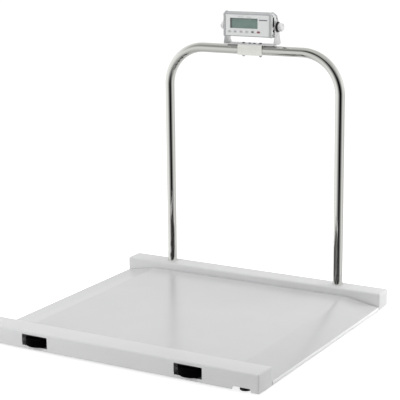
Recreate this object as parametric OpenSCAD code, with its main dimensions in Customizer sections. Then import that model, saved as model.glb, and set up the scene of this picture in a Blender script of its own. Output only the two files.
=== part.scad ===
// Low portable platform scale with two side ramps, a bent tube handrail and a tilting indicator.
// The origin is on the floor under the middle of the whole outline. X runs along the two rails,
// Y runs from the front rail to the rear rail, and Z is up.

/* [Platform] */
// Overall length of the platform along the rails
length = 950; // [850:5:1200]
// Depth from the front face of the front rail to the back face of the rear rail
depth = 900; // [800:5:1100]
// Gap from the floor to the underside of the rails
ground_gap = 10; // [8:0.5:14]
// Slit between the deck and each rail
deck_slit = 3; // [1:0.5:6]

/* [Rails] */
// Height of a rail, from its open underside to its top
rail_h = 54; // [52:1:64]
// Width of the front rail
front_rail_w = 80; // [76:1:110]
// Width of the rear rail
rear_rail_w = 70; // [68:1:100]
// Thickness of the folded sheet of the rails
rail_t = 2.5; // [2:0.1:3]
// Outside radius of the long bends of a rail
rail_bend = 6; // [4:0.5:6.5]
// Width of a foot notch at the underside
notch_w = 60; // [40:1:66]
// Height of a foot notch
notch_h = 10; // [6:0.5:12]
// How much narrower a foot notch is at its top
notch_taper = 8; // [0:1:14]
// How far a foot notch sits outwards from its foot
notch_offset = 8; // [0:0.5:10]

/* [Deck] */
// Height of the flat deck above the floor
deck_top = 40; // [38:0.5:46]
// Thickness of the deck plate
deck_t = 3; // [2:0.5:4]
// Height of the outer edge of a ramp above the floor
lip_top = 20; // [17:0.5:24]
// Length of a ramp, from its bend to its outer edge
ramp_run = 110; // [90:1:140]
// Radius of the soft bend between the deck and a ramp
ramp_bend = 120; // [60:5:180]
// Outside radius of the folded edge of a ramp
lip_bend = 4; // [3.5:0.1:6]
// Number of channels under the deck
stiffener_count = 5; // [3:1:6]
// Distance between the channels under the deck
stiffener_pitch = 130; // [100:1:132]
// Width of a channel under the deck, without its flanges
stiffener_w = 50; // [40:1:56]
// Height of a channel under the deck
stiffener_h = 25; // [20:0.5:26]
// Width of each flange of a channel
stiffener_flange = 14; // [10:1:16]
// Sheet thickness of the channels and the ramp ribs
stiffener_t = 2.5; // [2:0.1:3]
// Number of ribs under each ramp
rib_count = 5; // [3:1:8]

/* [Feet] */
// Distance from the middle of the platform to the feet on the right
foot_right_x = 414; // [405:1:425]
// Distance from the middle of the platform to the feet on the left
foot_left_x = 430; // [405:1:432]
// Radius of a foot pad
foot_r = 16.5; // [14:0.5:18]
// Height of a foot pad
foot_h = 8; // [6:0.5:9]
// Radius of the threaded stem of a foot
stem_r = 6; // [5:0.5:6]
// Length of the threaded stem of a foot
stem_l = 44; // [40:1:46]
// Width across the flats of a lock nut
lock_nut_w = 18; // [17:0.5:19]
// Height of a lock nut
lock_nut_h = 6; // [5:0.5:6.5]

/* [Load cells] */
// Length of a load cell
cell_l = 90; // [85:1:92]
// Width of a load cell
cell_w = 32; // [28:1:34]
// Height of a load cell
cell_h = 30; // [26:0.5:31]
// Distance from the outer end of a load cell to its foot
cell_foot_end = 15; // [12:0.5:18]
// Distance from the foot to the first fixing bolt
cell_bolt_start = 44; // [42:1:46]
// Distance between the two fixing bolts
cell_bolt_pitch = 20; // [18:0.5:21]
// Radius of a fixing bolt
cell_bolt_r = 4; // [3:0.5:5]
// Thickness of the tapped spacer above a load cell
spacer_h = 6; // [5:0.5:8]
// Radius of the round pocket in each side of a load cell
pocket_r = 9; // [6:0.5:10]
// Depth of the round pocket in each side of a load cell
pocket_depth = 10; // [6:0.5:11]
// Radius of a load cell lead
lead_r = 2.2; // [1.5:0.1:2.5]
// Height of the leads above the floor
lead_z = 32; // [31:0.5:33]

/* [Wheels] */
// Distance from the middle of the platform to the right wheel
wheel_right_x = 255; // [200:1:262]
// Distance from the middle of the platform to the left wheel
wheel_left_x = 266; // [200:1:275]
// Radius of a wheel
wheel_r = 42; // [38:0.5:43]
// Width of a wheel
wheel_w = 25; // [20:0.5:26]
// How far a wheel stands out of the front face
wheel_out = 14; // [10:0.5:18]
// Width of a wheel window
window_w = 90; // [88:1:94]
// Height of a wheel window
window_h = 34; // [30:0.5:36]
// Height of the lower edge of a wheel window above the floor
window_z = 20; // [18:0.5:22]
// Radius of a wheel axle
axle_r = 5; // [4:0.5:6]
// Outside radius of a wheel bush
bush_r = 8; // [7.5:0.5:10]
// Sheet thickness of a wheel bracket
bracket_t = 3; // [2:0.1:3.4]
// Length of a wheel bracket along the rail
bracket_l = 60; // [40:1:70]

/* [Handrail] */
// Distance between the centre lines of the two posts
post_pitch = 628; // [560:2:630]
// Height of the centre line of the top bar above the floor
handrail_h = 815; // [700:5:1000]
// Outside radius of the handrail tube
tube_r = 15.9; // [14:0.1:16]
// Wall thickness of the handrail tube
tube_t = 1.5; // [1:0.1:3]
// Radius of the two bends at the centre line of the tube
tube_bend = 132; // [80:1:200]
// Wall thickness of the socket that holds a post
socket_t = 3; // [2:0.1:3]
// Width of the collar round a post on the rail
collar_w = 3.5; // [2:0.1:6]
// Height of the collar round a post on the rail
collar_h = 2.5; // [1:0.1:4]
// Radius of the pinch screw of a post
pinch_r = 4; // [3:0.5:5]
// Height of the pinch screw of a post above the floor
pinch_z = 42; // [36:1:46]

/* [Saddle and yoke] */
// Length of the saddle along the top bar
saddle_l = 88; // [80:1:120]
// Sheet thickness of the saddle
saddle_t = 2; // [1.5:0.1:3]
// How far the saddle reaches below the middle of the top bar
saddle_drop = 17; // [10:0.5:20]
// Distance between the two outer bolts of the saddle
saddle_bolt_pitch = 62; // [50:1:66]
// Distance between the two inner screws of the saddle
saddle_screw_pitch = 17; // [14:0.5:24]
// Radius of an outer bolt of the saddle
saddle_bolt_r = 3; // [2.5:0.1:3.5]
// Radius of an inner screw of the saddle
saddle_screw_r = 2.5; // [2:0.1:3]
// Sheet thickness of the yoke
yoke_t = 2.5; // [2:0.1:3]
// Width of the yoke at its base
yoke_w = 52; // [40:1:60]
// Radius of the round end of a yoke leg
yoke_end_r = 17; // [14:0.5:19]
// Inside radius of the two bends of the yoke
yoke_bend = 3; // [2:0.5:5]
// Height of the tilt axis above the top face of the yoke base
pivot_h = 57; // [57:1:80]
// Radius of a toothed washer
washer_r = 17; // [15:0.5:19]
// Thickness of a toothed washer
washer_t = 4; // [3:0.5:5]
// Radius of a hand knob
knob_r = 14; // [12:0.5:16]
// Length of a hand knob
knob_l = 14.5; // [12:0.5:20]
// Radius of the threaded stud of a hand knob
stud_r = 4; // [3:0.5:4]

/* [Indicator] */
// Width of the indicator over its end caps
case_w = 174; // [170:1:200]
// Depth of the indicator, from its face to its back
case_d = 54; // [52:0.5:60]
// Height of the indicator
case_h = 80; // [79:0.5:88]
// Height of the flat face
face_h = 73.5; // [72:0.5:76]
// Distance from the face back to the tilt axis
pivot_back = 34; // [31:0.5:36]
// Distance from the underside of the case up to the tilt axis
pivot_up = 32.5; // [30:0.5:34]
// Wall thickness of the case
case_t = 2; // [1.5:0.1:2]
// Thickness of an end cap
cap_t = 6.5; // [5:0.5:7]
// How far an end cap stands proud of the case all round
cap_proud = 1.5; // [0.5:0.1:2]
// Thickness of the printed face film
film_t = 0.5; // [0.3:0.1:1]
// Width of the display window
display_w = 100; // [80:1:102]
// Height of the display window
display_h = 32.5; // [24:0.5:33]
// Distance from the middle of the face to the middle of the display window
display_x = -12; // [-14:0.5:0]
// Height of the middle of the display window above the underside of the case
display_z = 43; // [43:0.5:45]
// Width of a key
key_w = 13; // [9:0.5:14]
// Height of a key
key_h = 8; // [6:0.5:8]
// Distance between the keys
key_pitch = 21.1; // [20:0.1:22]
// Distance from the middle of the face to the first key
first_key_x = -64.5; // [-66:0.5:-60]
// Height of the keys above the underside of the case
key_z = 16; // [15:0.5:16]
// How far a key travels
key_travel = 0.5; // [0.3:0.1:0.8]
// Width of the serial port
port_w = 9; // [8:0.5:9]
// Height of the serial port
port_h = 31; // [28:0.5:33]
// Radius of the power jack
jack_r = 4.2; // [3.5:0.1:4.5]
// Radius of the cable gland nut
gland_r = 8; // [6:0.5:9]

/* [Junction box] */
// Length of the junction box
box_l = 110; // [90:1:140]
// Depth of the junction box
box_d = 56; // [54:0.5:57]
// Wall thickness of the junction box
box_t = 2.5; // [2:0.1:3]

/* [Fits] */
// Radial clearance where one piece turns or slides in another
run_fit = 0.05; // [0.02:0.01:0.1]
// Radial clearance of a bolt in a plain hole
bolt_fit = 0.2; // [0.1:0.05:0.5]
// Gap that keeps two moving faces apart
face_gap = 0.3; // [0.3:0.05:0.6]
// Gap between the handrail tube and what holds it
tube_fit = 0.1; // [0.05:0.05:0.2]

/* [Hidden] */
$fn = 64;

// A little more than nothing, so that a cut runs clean through a face
over = 1;

// Faces of the rails, with the wheels counted in the outline that is centred on the origin
front_y = (wheel_out - depth) / 2;
back_y = front_y + depth;
front_mid = front_y + front_rail_w / 2;
rear_mid = back_y - rear_rail_w / 2;
deck_front = front_y + front_rail_w;
deck_back = back_y - rear_rail_w;
rail_top = ground_gap + rail_h;
rail_under = rail_top - rail_t;

// Angle of a ramp, and the points where its two bends are centred
ramp_angle = atan((deck_top - lip_top) / ramp_run);
bend_x = length / 2 - ramp_run;
bend_start = bend_x - ramp_bend * tan(ramp_angle / 2);
lip_x = length / 2 - lip_bend;
lip_z = lip_top + lip_bend * tan(ramp_angle) - lip_bend / cos(ramp_angle);
bend_steps = 8;
deck_under = deck_top - deck_t;
stiffener_z = deck_under - stiffener_h;
stiffener_edge = (stiffener_count - 1) / 2 * stiffener_pitch + stiffener_w / 2;
rib_end = lip_x - deck_t;
rib_margin = deck_slit + 20;

// Load cells hang from a spacer under the top of the rail
cell_top = rail_under - spacer_h;
cell_z = cell_top - cell_h;
cell_inner = cell_l - cell_foot_end;
spacer_start = cell_bolt_start - 12;
bolt_head_r = 1.6 * cell_bolt_r;
bolt_head_h = 5;
bolt_socket_h = 3;
bolt_socket_w = 1.5 * cell_bolt_r;
bolt_short = 0.5;

// Leads
lead_inset = 8;
lead_elbow = 6;
lead_gap = 0.8;
lead_end = 2;
lead_hole_r = lead_r + 1.3;
rib_hole_r = lead_r + 1.8;

// Feet
pad_chamfer = 1;
pad_step = 5;
pad_neck = 3;
stem_seat = 3;
stem_chamfer = 1;
stem_z = foot_h - stem_seat;

// Wheels lie flat, with upright axles in brackets inside the front rail
wheel_y = front_y - wheel_out + wheel_r;
wheel_z = window_z + window_h / 2 - wheel_w / 2 - 3;
plate_gap = wheel_w + 3;
plate_z = wheel_z - 1.5;
bracket_back = deck_front - rail_bend;
bracket_front = front_y + rail_t + 3.5;
bracket_flange = 24;
axle_head_h = 6;
axle_nut_h = 6;
axle_head_w = 17;
hub_rim = 5;
tread_rim = 10;
dish_depth = 3;
dish_slope = 2;
tyre_round = 3;
tyre_mid = 0.8;

// Handrail
post_x = post_pitch / 2;
tube_y = rear_mid;
socket_r = tube_r + tube_fit + socket_t;
socket_z = ground_gap + 10;
post_z = socket_z + socket_t;
tube_top = handrail_h + tube_r;
tube_bottom = handrail_h - tube_r;
collar_chamfer = 1;
pinch_head = 4;
pinch_end = 0.5;
pinch_access = 2;

// Saddle over the top bar, and the yoke on it
saddle_in = tube_r + tube_fit;
saddle_top = handrail_h + saddle_in + saddle_t;
saddle_z = handrail_h - saddle_drop;
yoke_top = saddle_top + yoke_t;
pivot_z = yoke_top + pivot_h;
leg_gap = 2.5;
leg_in = case_w / 2 + leg_gap;
leg_out = leg_in + yoke_t;
knob_x = leg_out + washer_t + face_gap;
nut_h = 5;
nut_w = 10;
bolt_spare = 2;
bolt_top_r = 6;
bolt_top_h = 3.5;
screw_top_r = 4.75;
screw_top_h = 3;
screw_grip = 6;
washer_teeth = 24;
tooth_r = 1;
knob_hub_r = 9;
knob_hub_l = 2;
knob_flare = 1;
knob_chamfer = 2;
knob_flutes = 12;
flute_r = 2;
flute_out = 1;
stud_short = 1;

// Indicator, in the frame of the tilt axis
case_x = case_w / 2 - cap_t;
face_y = tube_y - pivot_back;
case_z = pivot_z - pivot_up;
roof_y = 15;
case_shape = [
    [0, 0], [14, 0], [31, 1], [case_d - 8, 13], [case_d, 44],
    [case_d - 12, case_h - 12.5], [roof_y, case_h], [0, face_h]
];
case_corner = 3;
corner_steps = 4;
film_edge = 2;
film_margin = film_edge + 1;
board_t = 1.6;
board_y = face_y + 12;
board_edge = 1.2;
board_left = 4 - case_x;
board_right = case_x - 10;
rib_t = 1.2;
rib_l = 4;
slot_fit = 0.2;
module_y = face_y + case_t + 1;
module_edge_x = 9;
module_edge_z = 4.5;
module_rim = 1;
key_proud = film_t + 0.5;
key_flange = 1.5;
key_flange_t = 1;
key_stem_r = 1.5;
switch_r = 3;
switch_h = 1;
spigot_l = 5;
spigot_t = case_t;
insert_r = 6;
insert_l = 12;
insert_spare = 1;
boss_r = 8.5;
cap_screw_r = 1.5;
cap_screw_l = 10.5;
cap_head_r = 2;
cap_head_h = 1;
cap_screw_places = [[8, 7], [8, case_h - 11], [36, 9.5], [case_d - 17, case_h - 21]];

// Connectors on the right end cap, and the cable gland on the back
socket_proud = 0.4;
port_y = face_y + 15;
port_z = case_z + 48.5;
port_wall = 1;
port_flange = 3;
port_flange_l = 8;
port_recess = 3;
port_side_front = 1.4;
port_side_back = 2;
jack_y = face_y + 16;
jack_z = case_z + 20;
jack_l = 9;
jack_recess = 4;
jack_wall = 1.3;
jack_pin_r = 1;
gland_x = -48;
gland_body_r = gland_r - 2;
gland_bore_r = 2.6;
gland_in = case_t + 1;
gland_hex_w = 1.8 * gland_r;
gland_hex_l = 5;
gland_cap_l = 11;
gland_l = 15;
gland_nose = 3;
back_low = case_shape[3];
back_high = case_shape[4];
gland_angle = atan((back_high.x - back_low.x) / (back_high.y - back_low.y));
gland_y = face_y + (back_low.x + back_high.x) / 2;
gland_z = case_z + (back_low.y + back_high.y) / 2;
battery_r = 7;
battery_pitch = 14.1;
battery_l = 72;
battery_x = -10;
battery_z = case_z + 14;

// Junction box under the top of the rear rail
box_z = 24;
lid_t = 2.5;
box_gland_r = 5;
box_gland_l = 12;
lid_step = 1;
lead_front_y = deck_back + rail_t + lead_r + lead_elbow + lead_gap;
lead_rear_y = rear_mid + cell_w / 2 + lead_end + lead_elbow;

// Colours
white_paint = [0.86, 0.86, 0.86];
chrome_tube = [0.8, 0.8, 0.82];
zinc = [0.62, 0.63, 0.65];
black_rubber = [0.08, 0.08, 0.08];
pale_plastic = [0.83, 0.84, 0.84];
dark_plastic = [0.2, 0.2, 0.21];
aluminium = [0.7, 0.71, 0.72];

// Unit vector, and a convex outline moved inwards by d with sharp corners
function unit(v) = v / norm(v);
function left_of(u) = [-u.y, u.x];
function edge_in(p, i) = unit(p[i] - p[(i + len(p) - 1) % len(p)]);
function edge_out(p, i) = unit(p[(i + 1) % len(p)] - p[i]);
function corner_move(m, n) = (m + n) / (1 + m * n);
function inset(p, d) = [
    for (i = [0:len(p) - 1])
        p[i] + d * corner_move(left_of(edge_in(p, i)), left_of(edge_out(p, i)))
];

// A convex outline with every corner rounded to radius r
function normal_angle(u) = atan2(-u.x, u.y);
function rounded(p, r) = let (c = inset(p, r)) [
    for (i = [0:len(p) - 1])
        let (start = normal_angle(edge_in(p, i)), turn = (normal_angle(edge_out(p, i)) - start + 360) % 360)
            for (k = [0:corner_steps])
                c[i] + r * [cos(start + turn * k / corner_steps), sin(start + turn * k / corner_steps)]
];

// Right half of the deck's section, from the bend to the foot of the lip, moved inwards by o
function deck_curve(o) = concat(
    [for (k = [0:bend_steps]) let (a = ramp_angle * k / bend_steps)
        [bend_start + (ramp_bend - o) * sin(a), deck_top - ramp_bend + (ramp_bend - o) * cos(a)]],
    [for (k = [0:bend_steps]) let (a = ramp_angle + (90 - ramp_angle) * k / bend_steps)
        [lip_x + (lip_bend - o) * sin(a), lip_z + (lip_bend - o) * cos(a)]]
);
function reversed(p) = [for (i = [len(p) - 1:-1:0]) p[i]];
function flipped(p) = [for (q = p) [-q.x, q.y]];

// An outline in Y and Z, carried along X
module along_x(x0, x1) {
    translate([x0, 0, 0])
        rotate([90, 0, 90])
            linear_extrude(x1 - x0)
                children();
}

// An outline in X and Z, carried along Y
module along_y(y0, y1) {
    translate([0, y1, 0])
        rotate([90, 0, 0])
            linear_extrude(y1 - y0)
                children();
}

module rod_x(x0, x1, r) {
    translate([x0, 0, 0])
        rotate([0, 90, 0])
            cylinder(h = x1 - x0, r = r);
}

module rod_y(y0, y1, r) {
    translate([0, y0, 0])
        rotate([-90, 0, 0])
            cylinder(h = y1 - y0, r = r);
}

module rod_z(z0, z1, r) {
    translate([0, 0, z0])
        cylinder(h = z1 - z0, r = r);
}

// A hexagon standing on z0, with w across its flats
module hex_z(z0, z1, w) {
    translate([0, 0, z0])
        cylinder(h = z1 - z0, r = w / 2 / cos(30), $fn = 6);
}

module block(x0, x1, y0, y1, z0, z1) {
    translate([x0, y0, z0])
        cube([x1 - x0, y1 - y0, z1 - z0]);
}

// Places a child at each side, mirrored on the left
module both_sides() {
    children();
    mirror([1, 0, 0])
        children();
}

// Rails
module round_top(w, h, r) {
    translate([-w / 2, 0])
        square([w, h - r]);
    translate([r - w / 2, 0])
        square([w - 2 * r, h]);
    for (s = [-1, 1])
        translate([s * (w / 2 - r), h - r])
            circle(r);
}

module rail_shell(w, mid) {
    translate([0, mid, ground_gap]) {
        along_x(-length / 2, length / 2)
            difference() {
                round_top(w, rail_h, rail_bend);
                translate([0, -rail_t])
                    round_top(w - 2 * rail_t, rail_h, rail_bend - rail_t);
            }
        for (x = [-length / 2, length / 2 - rail_t])
            along_x(x, x + rail_t)
                round_top(w, rail_h, rail_bend);
    }
}

module foot_notch(x, out, y0, y1) {
    translate([x + out * notch_offset, 0, ground_gap])
        along_y(y0, y1)
            polygon([
                [-notch_w / 2, -over], [notch_w / 2, -over], [notch_w / 2, 0],
                [(notch_w - notch_taper) / 2, notch_h], [(notch_taper - notch_w) / 2, notch_h],
                [-notch_w / 2, 0]
            ]);
}

module front_rail() {
    color(white_paint)
        difference() {
            rail_shell(front_rail_w, front_mid);
            for (x = [-wheel_left_x, wheel_right_x])
                translate([x, 0, 0])
                    block(-window_w / 2, window_w / 2, front_y - over, front_y + rail_t + over,
                        window_z, window_z + window_h);
            foot_notch(-foot_left_x, -1, front_y - over, front_y + rail_t + over);
            foot_notch(foot_right_x, 1, front_y - over, front_y + rail_t + over);
            for (x = lead_places())
                translate([x, 0, lead_z])
                    rod_y(deck_front - rail_t - over, deck_front + over, lead_hole_r);
        }
}

module rear_rail() {
    color(white_paint)
        difference() {
            rail_shell(rear_rail_w, rear_mid);
            foot_notch(-foot_left_x, -1, back_y - rail_t - over, back_y + over);
            foot_notch(foot_right_x, 1, back_y - rail_t - over, back_y + over);
            for (x = lead_places())
                translate([x, 0, lead_z])
                    rod_y(deck_back - over, deck_back + rail_t + over, lead_hole_r);
            for (x = [-post_x, post_x]) {
                translate([x, tube_y, 0])
                    rod_z(rail_under - over, rail_top + over, tube_r + bolt_fit);
                translate([x, 0, pinch_z])
                    rod_y(back_y - rail_t - over, back_y + over, pinch_r + pinch_access);
            }
        }
}

// Deck
module deck_plate() {
    color(white_paint)
        along_y(deck_front + deck_slit, deck_back - deck_slit)
            polygon(concat(
                flipped(reversed(deck_curve(0))), deck_curve(0),
                [[length / 2, ground_gap], [length / 2 - deck_t, ground_gap]],
                reversed(deck_curve(deck_t)), flipped(deck_curve(deck_t)),
                [[deck_t - length / 2, ground_gap], [-length / 2, ground_gap]]
            ));
}

module stiffener_section() {
    for (s = [-1, 1]) {
        translate([s * (stiffener_w - stiffener_t) / 2 - stiffener_t / 2, stiffener_z])
            square([stiffener_t, stiffener_h]);
        translate([s * (stiffener_w + stiffener_flange) / 2 - stiffener_flange / 2 - s * over / 2,
                deck_under - stiffener_t])
            square([stiffener_flange, stiffener_t]);
    }
    translate([-stiffener_w / 2, stiffener_z])
        square([stiffener_w, stiffener_t]);
}

module ramp_rib() {
    polygon(concat(
        [[stiffener_edge, stiffener_z], [stiffener_edge, deck_under - stiffener_t]],
        [[stiffener_edge + stiffener_flange, deck_under - stiffener_t]],
        [[stiffener_edge + stiffener_flange, deck_under]],
        [for (k = [0:bend_steps]) deck_curve(deck_t)[k]],
        [[rib_end, lip_top - (deck_t / cos(ramp_angle)) + (length / 2 - rib_end) * tan(ramp_angle)]],
        [[rib_end, stiffener_z]]
    ));
}

module deck_stiffeners() {
    color(white_paint)
        for (i = [0:stiffener_count - 1])
            translate([(i - (stiffener_count - 1) / 2) * stiffener_pitch, 0, 0])
                along_y(deck_front, deck_back)
                    stiffener_section();
}

module ramp_ribs() {
    color(white_paint)
        difference() {
            both_sides()
                for (i = [0:rib_count - 1])
                    translate([0, rib_place(i), 0])
                        along_y(-stiffener_t / 2, stiffener_t / 2)
                            ramp_rib();
            for (x = lead_places())
                translate([x, 0, lead_z])
                    rod_y(deck_front, deck_back, rib_hole_r);
        }
}

function rib_place(i) = deck_front + rib_margin
    + i * (deck_back - deck_front - 2 * rib_margin) / (rib_count - 1);
function lead_places() = [lead_inset - foot_left_x + cell_inner - 2 * lead_inset,
    foot_right_x - cell_inner + lead_inset];

// Load cells
module at_cell(left, y) {
    translate([left ? -foot_left_x : foot_right_x, y, 0])
        mirror([left ? 1 : 0, 0, 0])
            children();
}

module every_cell() {
    for (left = [false, true])
        for (y = [front_mid, rear_mid])
            at_cell(left, y)
                children();
}

module load_cell() {
    color(aluminium)
        difference() {
            block(-cell_inner, cell_foot_end, -cell_w / 2, cell_w / 2, cell_z, cell_top);
            rod_z(cell_z - over, cell_top + over, stem_r + run_fit);
            for (i = [0, 1])
                translate([-cell_bolt_start - i * cell_bolt_pitch, 0, 0])
                    rod_z(cell_z - over, cell_top + over, cell_bolt_r + bolt_fit);
            for (s = [-1, 1])
                translate([-cell_bolt_start / 2, s * (cell_w / 2 - pocket_depth / 2 + over / 2),
                        (cell_z + cell_top) / 2])
                    rod_y(-(pocket_depth + over) / 2, (pocket_depth + over) / 2, pocket_r);
        }
}

module load_cell_spacers() {
    color(zinc)
        every_cell()
            difference() {
                block(-cell_inner, -spacer_start, -cell_w / 2, cell_w / 2, cell_top, rail_under);
                for (i = [0, 1])
                    translate([-cell_bolt_start - i * cell_bolt_pitch, 0, 0])
                        rod_z(cell_top - over, rail_under + over, cell_bolt_r + run_fit);
            }
}

module load_cell_bolts() {
    color(zinc)
        every_cell()
            for (i = [0, 1])
                translate([-cell_bolt_start - i * cell_bolt_pitch, 0, 0])
                    difference() {
                        union() {
                            rod_z(cell_z - bolt_head_h, cell_z, bolt_head_r);
                            rod_z(cell_z - over, rail_under - bolt_short, cell_bolt_r);
                        }
                        hex_z(cell_z - bolt_head_h - over, cell_z - bolt_head_h + bolt_socket_h,
                            bolt_socket_w);
                    }
}

// Each lead leaves the side of its load cell, turns once and runs to the junction box. Its two straight
// runs start at the ends of its elbow.
module lead(x, y0, y1) {
    translate([x, y1 - lead_elbow, lead_z])
        mirror([x > 0 ? 0 : 1, 0, 0]) {
            rotate([90, 0, 0])
                cylinder(h = y1 - lead_elbow - y0, r = lead_r);
            translate([-lead_elbow, 0, 0])
                rotate_extrude(angle = 90)
                    translate([lead_elbow, 0])
                        circle(lead_r);
            translate([-lead_elbow, lead_elbow, 0])
                rotate([0, -90, 0])
                    cylinder(h = abs(x) - lead_elbow - box_l / 2 - lead_end, r = lead_r);
        }
}

module load_cell_leads() {
    color(dark_plastic)
        for (x = lead_places()) {
            lead(x, front_mid + cell_w / 2, lead_front_y);
            lead(x, rear_mid + cell_w / 2, lead_rear_y);
        }
}

// Feet
module foot_pad() {
    color(black_rubber)
        difference() {
            rotate_extrude()
                polygon([
                    [0, 0], [foot_r - pad_chamfer, 0], [foot_r, pad_chamfer], [foot_r, foot_h / 2],
                    [foot_r - pad_step, foot_h - pad_chamfer], [stem_r + pad_neck, foot_h], [0, foot_h]
                ]);
            rod_z(stem_z, foot_h + over, stem_r);
        }
}

module foot_stem() {
    color(zinc)
        rotate_extrude()
            polygon([
                [0, stem_z], [stem_r, stem_z], [stem_r, stem_z + stem_l - stem_chamfer],
                [stem_r - stem_chamfer, stem_z + stem_l], [0, stem_z + stem_l]
            ]);
}

module foot_lock_nuts() {
    color(zinc)
        every_cell()
            difference() {
                hex_z(cell_z - lock_nut_h, cell_z, lock_nut_w);
                rod_z(cell_z - lock_nut_h - over, cell_z + over, stem_r + run_fit);
            }
}

// Wheels
module wheel_brackets() {
    color(zinc)
        for (x = [-wheel_left_x, wheel_right_x])
            translate([x, 0, 0])
                difference() {
                    along_x(-bracket_l / 2, bracket_l / 2) {
                        translate([bracket_front, plate_z - bracket_t])
                            square([bracket_back - bracket_front, bracket_t]);
                        translate([bracket_front, plate_z + plate_gap])
                            square([bracket_back - bracket_front, bracket_t]);
                        translate([bracket_back - bracket_t, plate_z - bracket_t])
                            square([bracket_t, rail_under - plate_z + bracket_t]);
                        translate([bracket_back - bracket_flange, rail_under - bracket_t])
                            square([bracket_flange, bracket_t]);
                    }
                    translate([0, wheel_y, 0])
                        rod_z(plate_z - bracket_t - over, plate_z + plate_gap + bracket_t + over,
                            axle_r + run_fit);
                }
}

module wheel_axles() {
    color(zinc)
        for (x = [-wheel_left_x, wheel_right_x])
            translate([x, wheel_y, 0]) {
                hex_z(plate_z - bracket_t - axle_head_h, plate_z - bracket_t, axle_head_w);
                rod_z(plate_z - bracket_t - over, plate_z + plate_gap + bracket_t + axle_nut_h, axle_r);
                hex_z(plate_z + plate_gap + bracket_t, plate_z + plate_gap + bracket_t + axle_nut_h,
                    axle_head_w);
            }
}

// Half of a wheel's section, from its lower face to its middle: hub, dished web, rim and round tread
function wheel_half() = [
    [bush_r, 0], [bush_r + hub_rim, 0], [bush_r + hub_rim + 1, dish_depth],
    [wheel_r - tread_rim - dish_slope, dish_depth], [wheel_r - tread_rim, 0], [wheel_r - tyre_round, 0],
    [wheel_r - tyre_mid, tyre_mid], [wheel_r, tyre_round]
];

module wheel() {
    color(black_rubber)
        translate([0, wheel_y, wheel_z])
            rotate_extrude()
                polygon(concat(wheel_half(), [for (p = reversed(wheel_half())) [p.x, wheel_w - p.y]]));
}

module wheel_bush() {
    color(pale_plastic)
        translate([0, wheel_y, 0])
            difference() {
                rod_z(plate_z + face_gap, plate_z + plate_gap - face_gap, bush_r);
                rod_z(plate_z - over, plate_z + plate_gap + over, axle_r + run_fit);
            }
}

// Handrail
module rail_path(r, z0) {
    both_sides() {
        translate([post_x, tube_y, 0])
            rod_z(z0, handrail_h - tube_bend, r);
        translate([post_x - tube_bend, tube_y, handrail_h - tube_bend])
            rotate([90, 0, 0])
                rotate_extrude(angle = 90)
                    translate([tube_bend, 0])
                        circle(r);
    }
    translate([0, tube_y, handrail_h])
        rod_x(tube_bend - post_x, post_x - tube_bend, r);
}

module handrail() {
    color(chrome_tube)
        difference() {
            rail_path(tube_r, post_z);
            rail_path(tube_r - tube_t, post_z - over);
            for (x = [-post_x, post_x])
                translate([x, 0, pinch_z])
                    rod_y(tube_y, tube_y + tube_r + over, pinch_r + bolt_fit);
            for (x = [-saddle_bolt_pitch / 2, saddle_bolt_pitch / 2])
                translate([x, tube_y, 0])
                    rod_z(tube_bottom - over, tube_top + over, saddle_bolt_r + bolt_fit);
            for (x = [-saddle_screw_pitch / 2, saddle_screw_pitch / 2])
                translate([x, tube_y, 0])
                    rod_z(handrail_h, tube_top + over, saddle_screw_r + bolt_fit);
        }
}

module post_sockets() {
    color(zinc)
        for (x = [-post_x, post_x])
            translate([x, tube_y, 0])
                difference() {
                    rod_z(socket_z, rail_under, socket_r);
                    rod_z(post_z, rail_under + over, tube_r + tube_fit);
                    translate([0, 0, pinch_z])
                        rod_y(0, socket_r + over, pinch_r + run_fit);
                }
}

module post_collars() {
    color(pale_plastic)
        for (x = [-post_x, post_x])
            translate([x, tube_y, rail_top])
                rotate_extrude()
                    polygon([
                        [tube_r + tube_fit, 0], [tube_r + collar_w, 0],
                        [tube_r + collar_w, collar_h - collar_chamfer],
                        [tube_r + collar_w - collar_chamfer, collar_h], [tube_r + tube_fit, collar_h]
                    ]);
}

module post_screws() {
    color(zinc)
        for (x = [-post_x, post_x])
            translate([x, tube_y, pinch_z])
                difference() {
                    rod_y(tube_r - tube_t - pinch_end, socket_r + pinch_head, pinch_r);
                    rotate([-90, 30, 0])
                        hex_z(socket_r, socket_r + pinch_head + over, pinch_r);
                }
}

// Saddle and yoke
module saddle_bracket() {
    color(white_paint)
        difference() {
            translate([0, tube_y, 0])
                block(-saddle_l / 2, saddle_l / 2, -saddle_in - saddle_t, saddle_in + saddle_t,
                    saddle_z, saddle_top);
            translate([0, tube_y, 0])
                block(-saddle_l, saddle_l, -saddle_in, saddle_in, saddle_z - over, saddle_top - saddle_t);
            saddle_holes();
        }
}

module saddle_holes() {
    for (x = [-saddle_bolt_pitch / 2, saddle_bolt_pitch / 2])
        translate([x, tube_y, 0])
            rod_z(tube_top, yoke_top + over, saddle_bolt_r + bolt_fit);
    for (x = [-saddle_screw_pitch / 2, saddle_screw_pitch / 2])
        translate([x, tube_y, 0])
            rod_z(tube_top, yoke_top + over, saddle_screw_r + bolt_fit);
}

module pan_head(r, h) {
    rotate_extrude()
        polygon([[0, 0], [r, 0], [r, h / 2], [0.6 * r, h], [0, h]]);
}

module saddle_bolts() {
    color(zinc)
        for (x = [-saddle_bolt_pitch / 2, saddle_bolt_pitch / 2])
            translate([x, tube_y, 0]) {
                translate([0, 0, yoke_top])
                    pan_head(bolt_top_r, bolt_top_h);
                rod_z(tube_bottom - nut_h - bolt_spare, yoke_top + over, saddle_bolt_r);
                hex_z(tube_bottom - nut_h, tube_bottom, nut_w);
            }
}

module saddle_screws() {
    color(zinc)
        for (x = [-saddle_screw_pitch / 2, saddle_screw_pitch / 2])
            translate([x, tube_y, 0]) {
                translate([0, 0, yoke_top])
                    pan_head(screw_top_r, screw_top_h);
                rod_z(tube_top - screw_grip, yoke_top + over, saddle_screw_r);
            }
}

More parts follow.
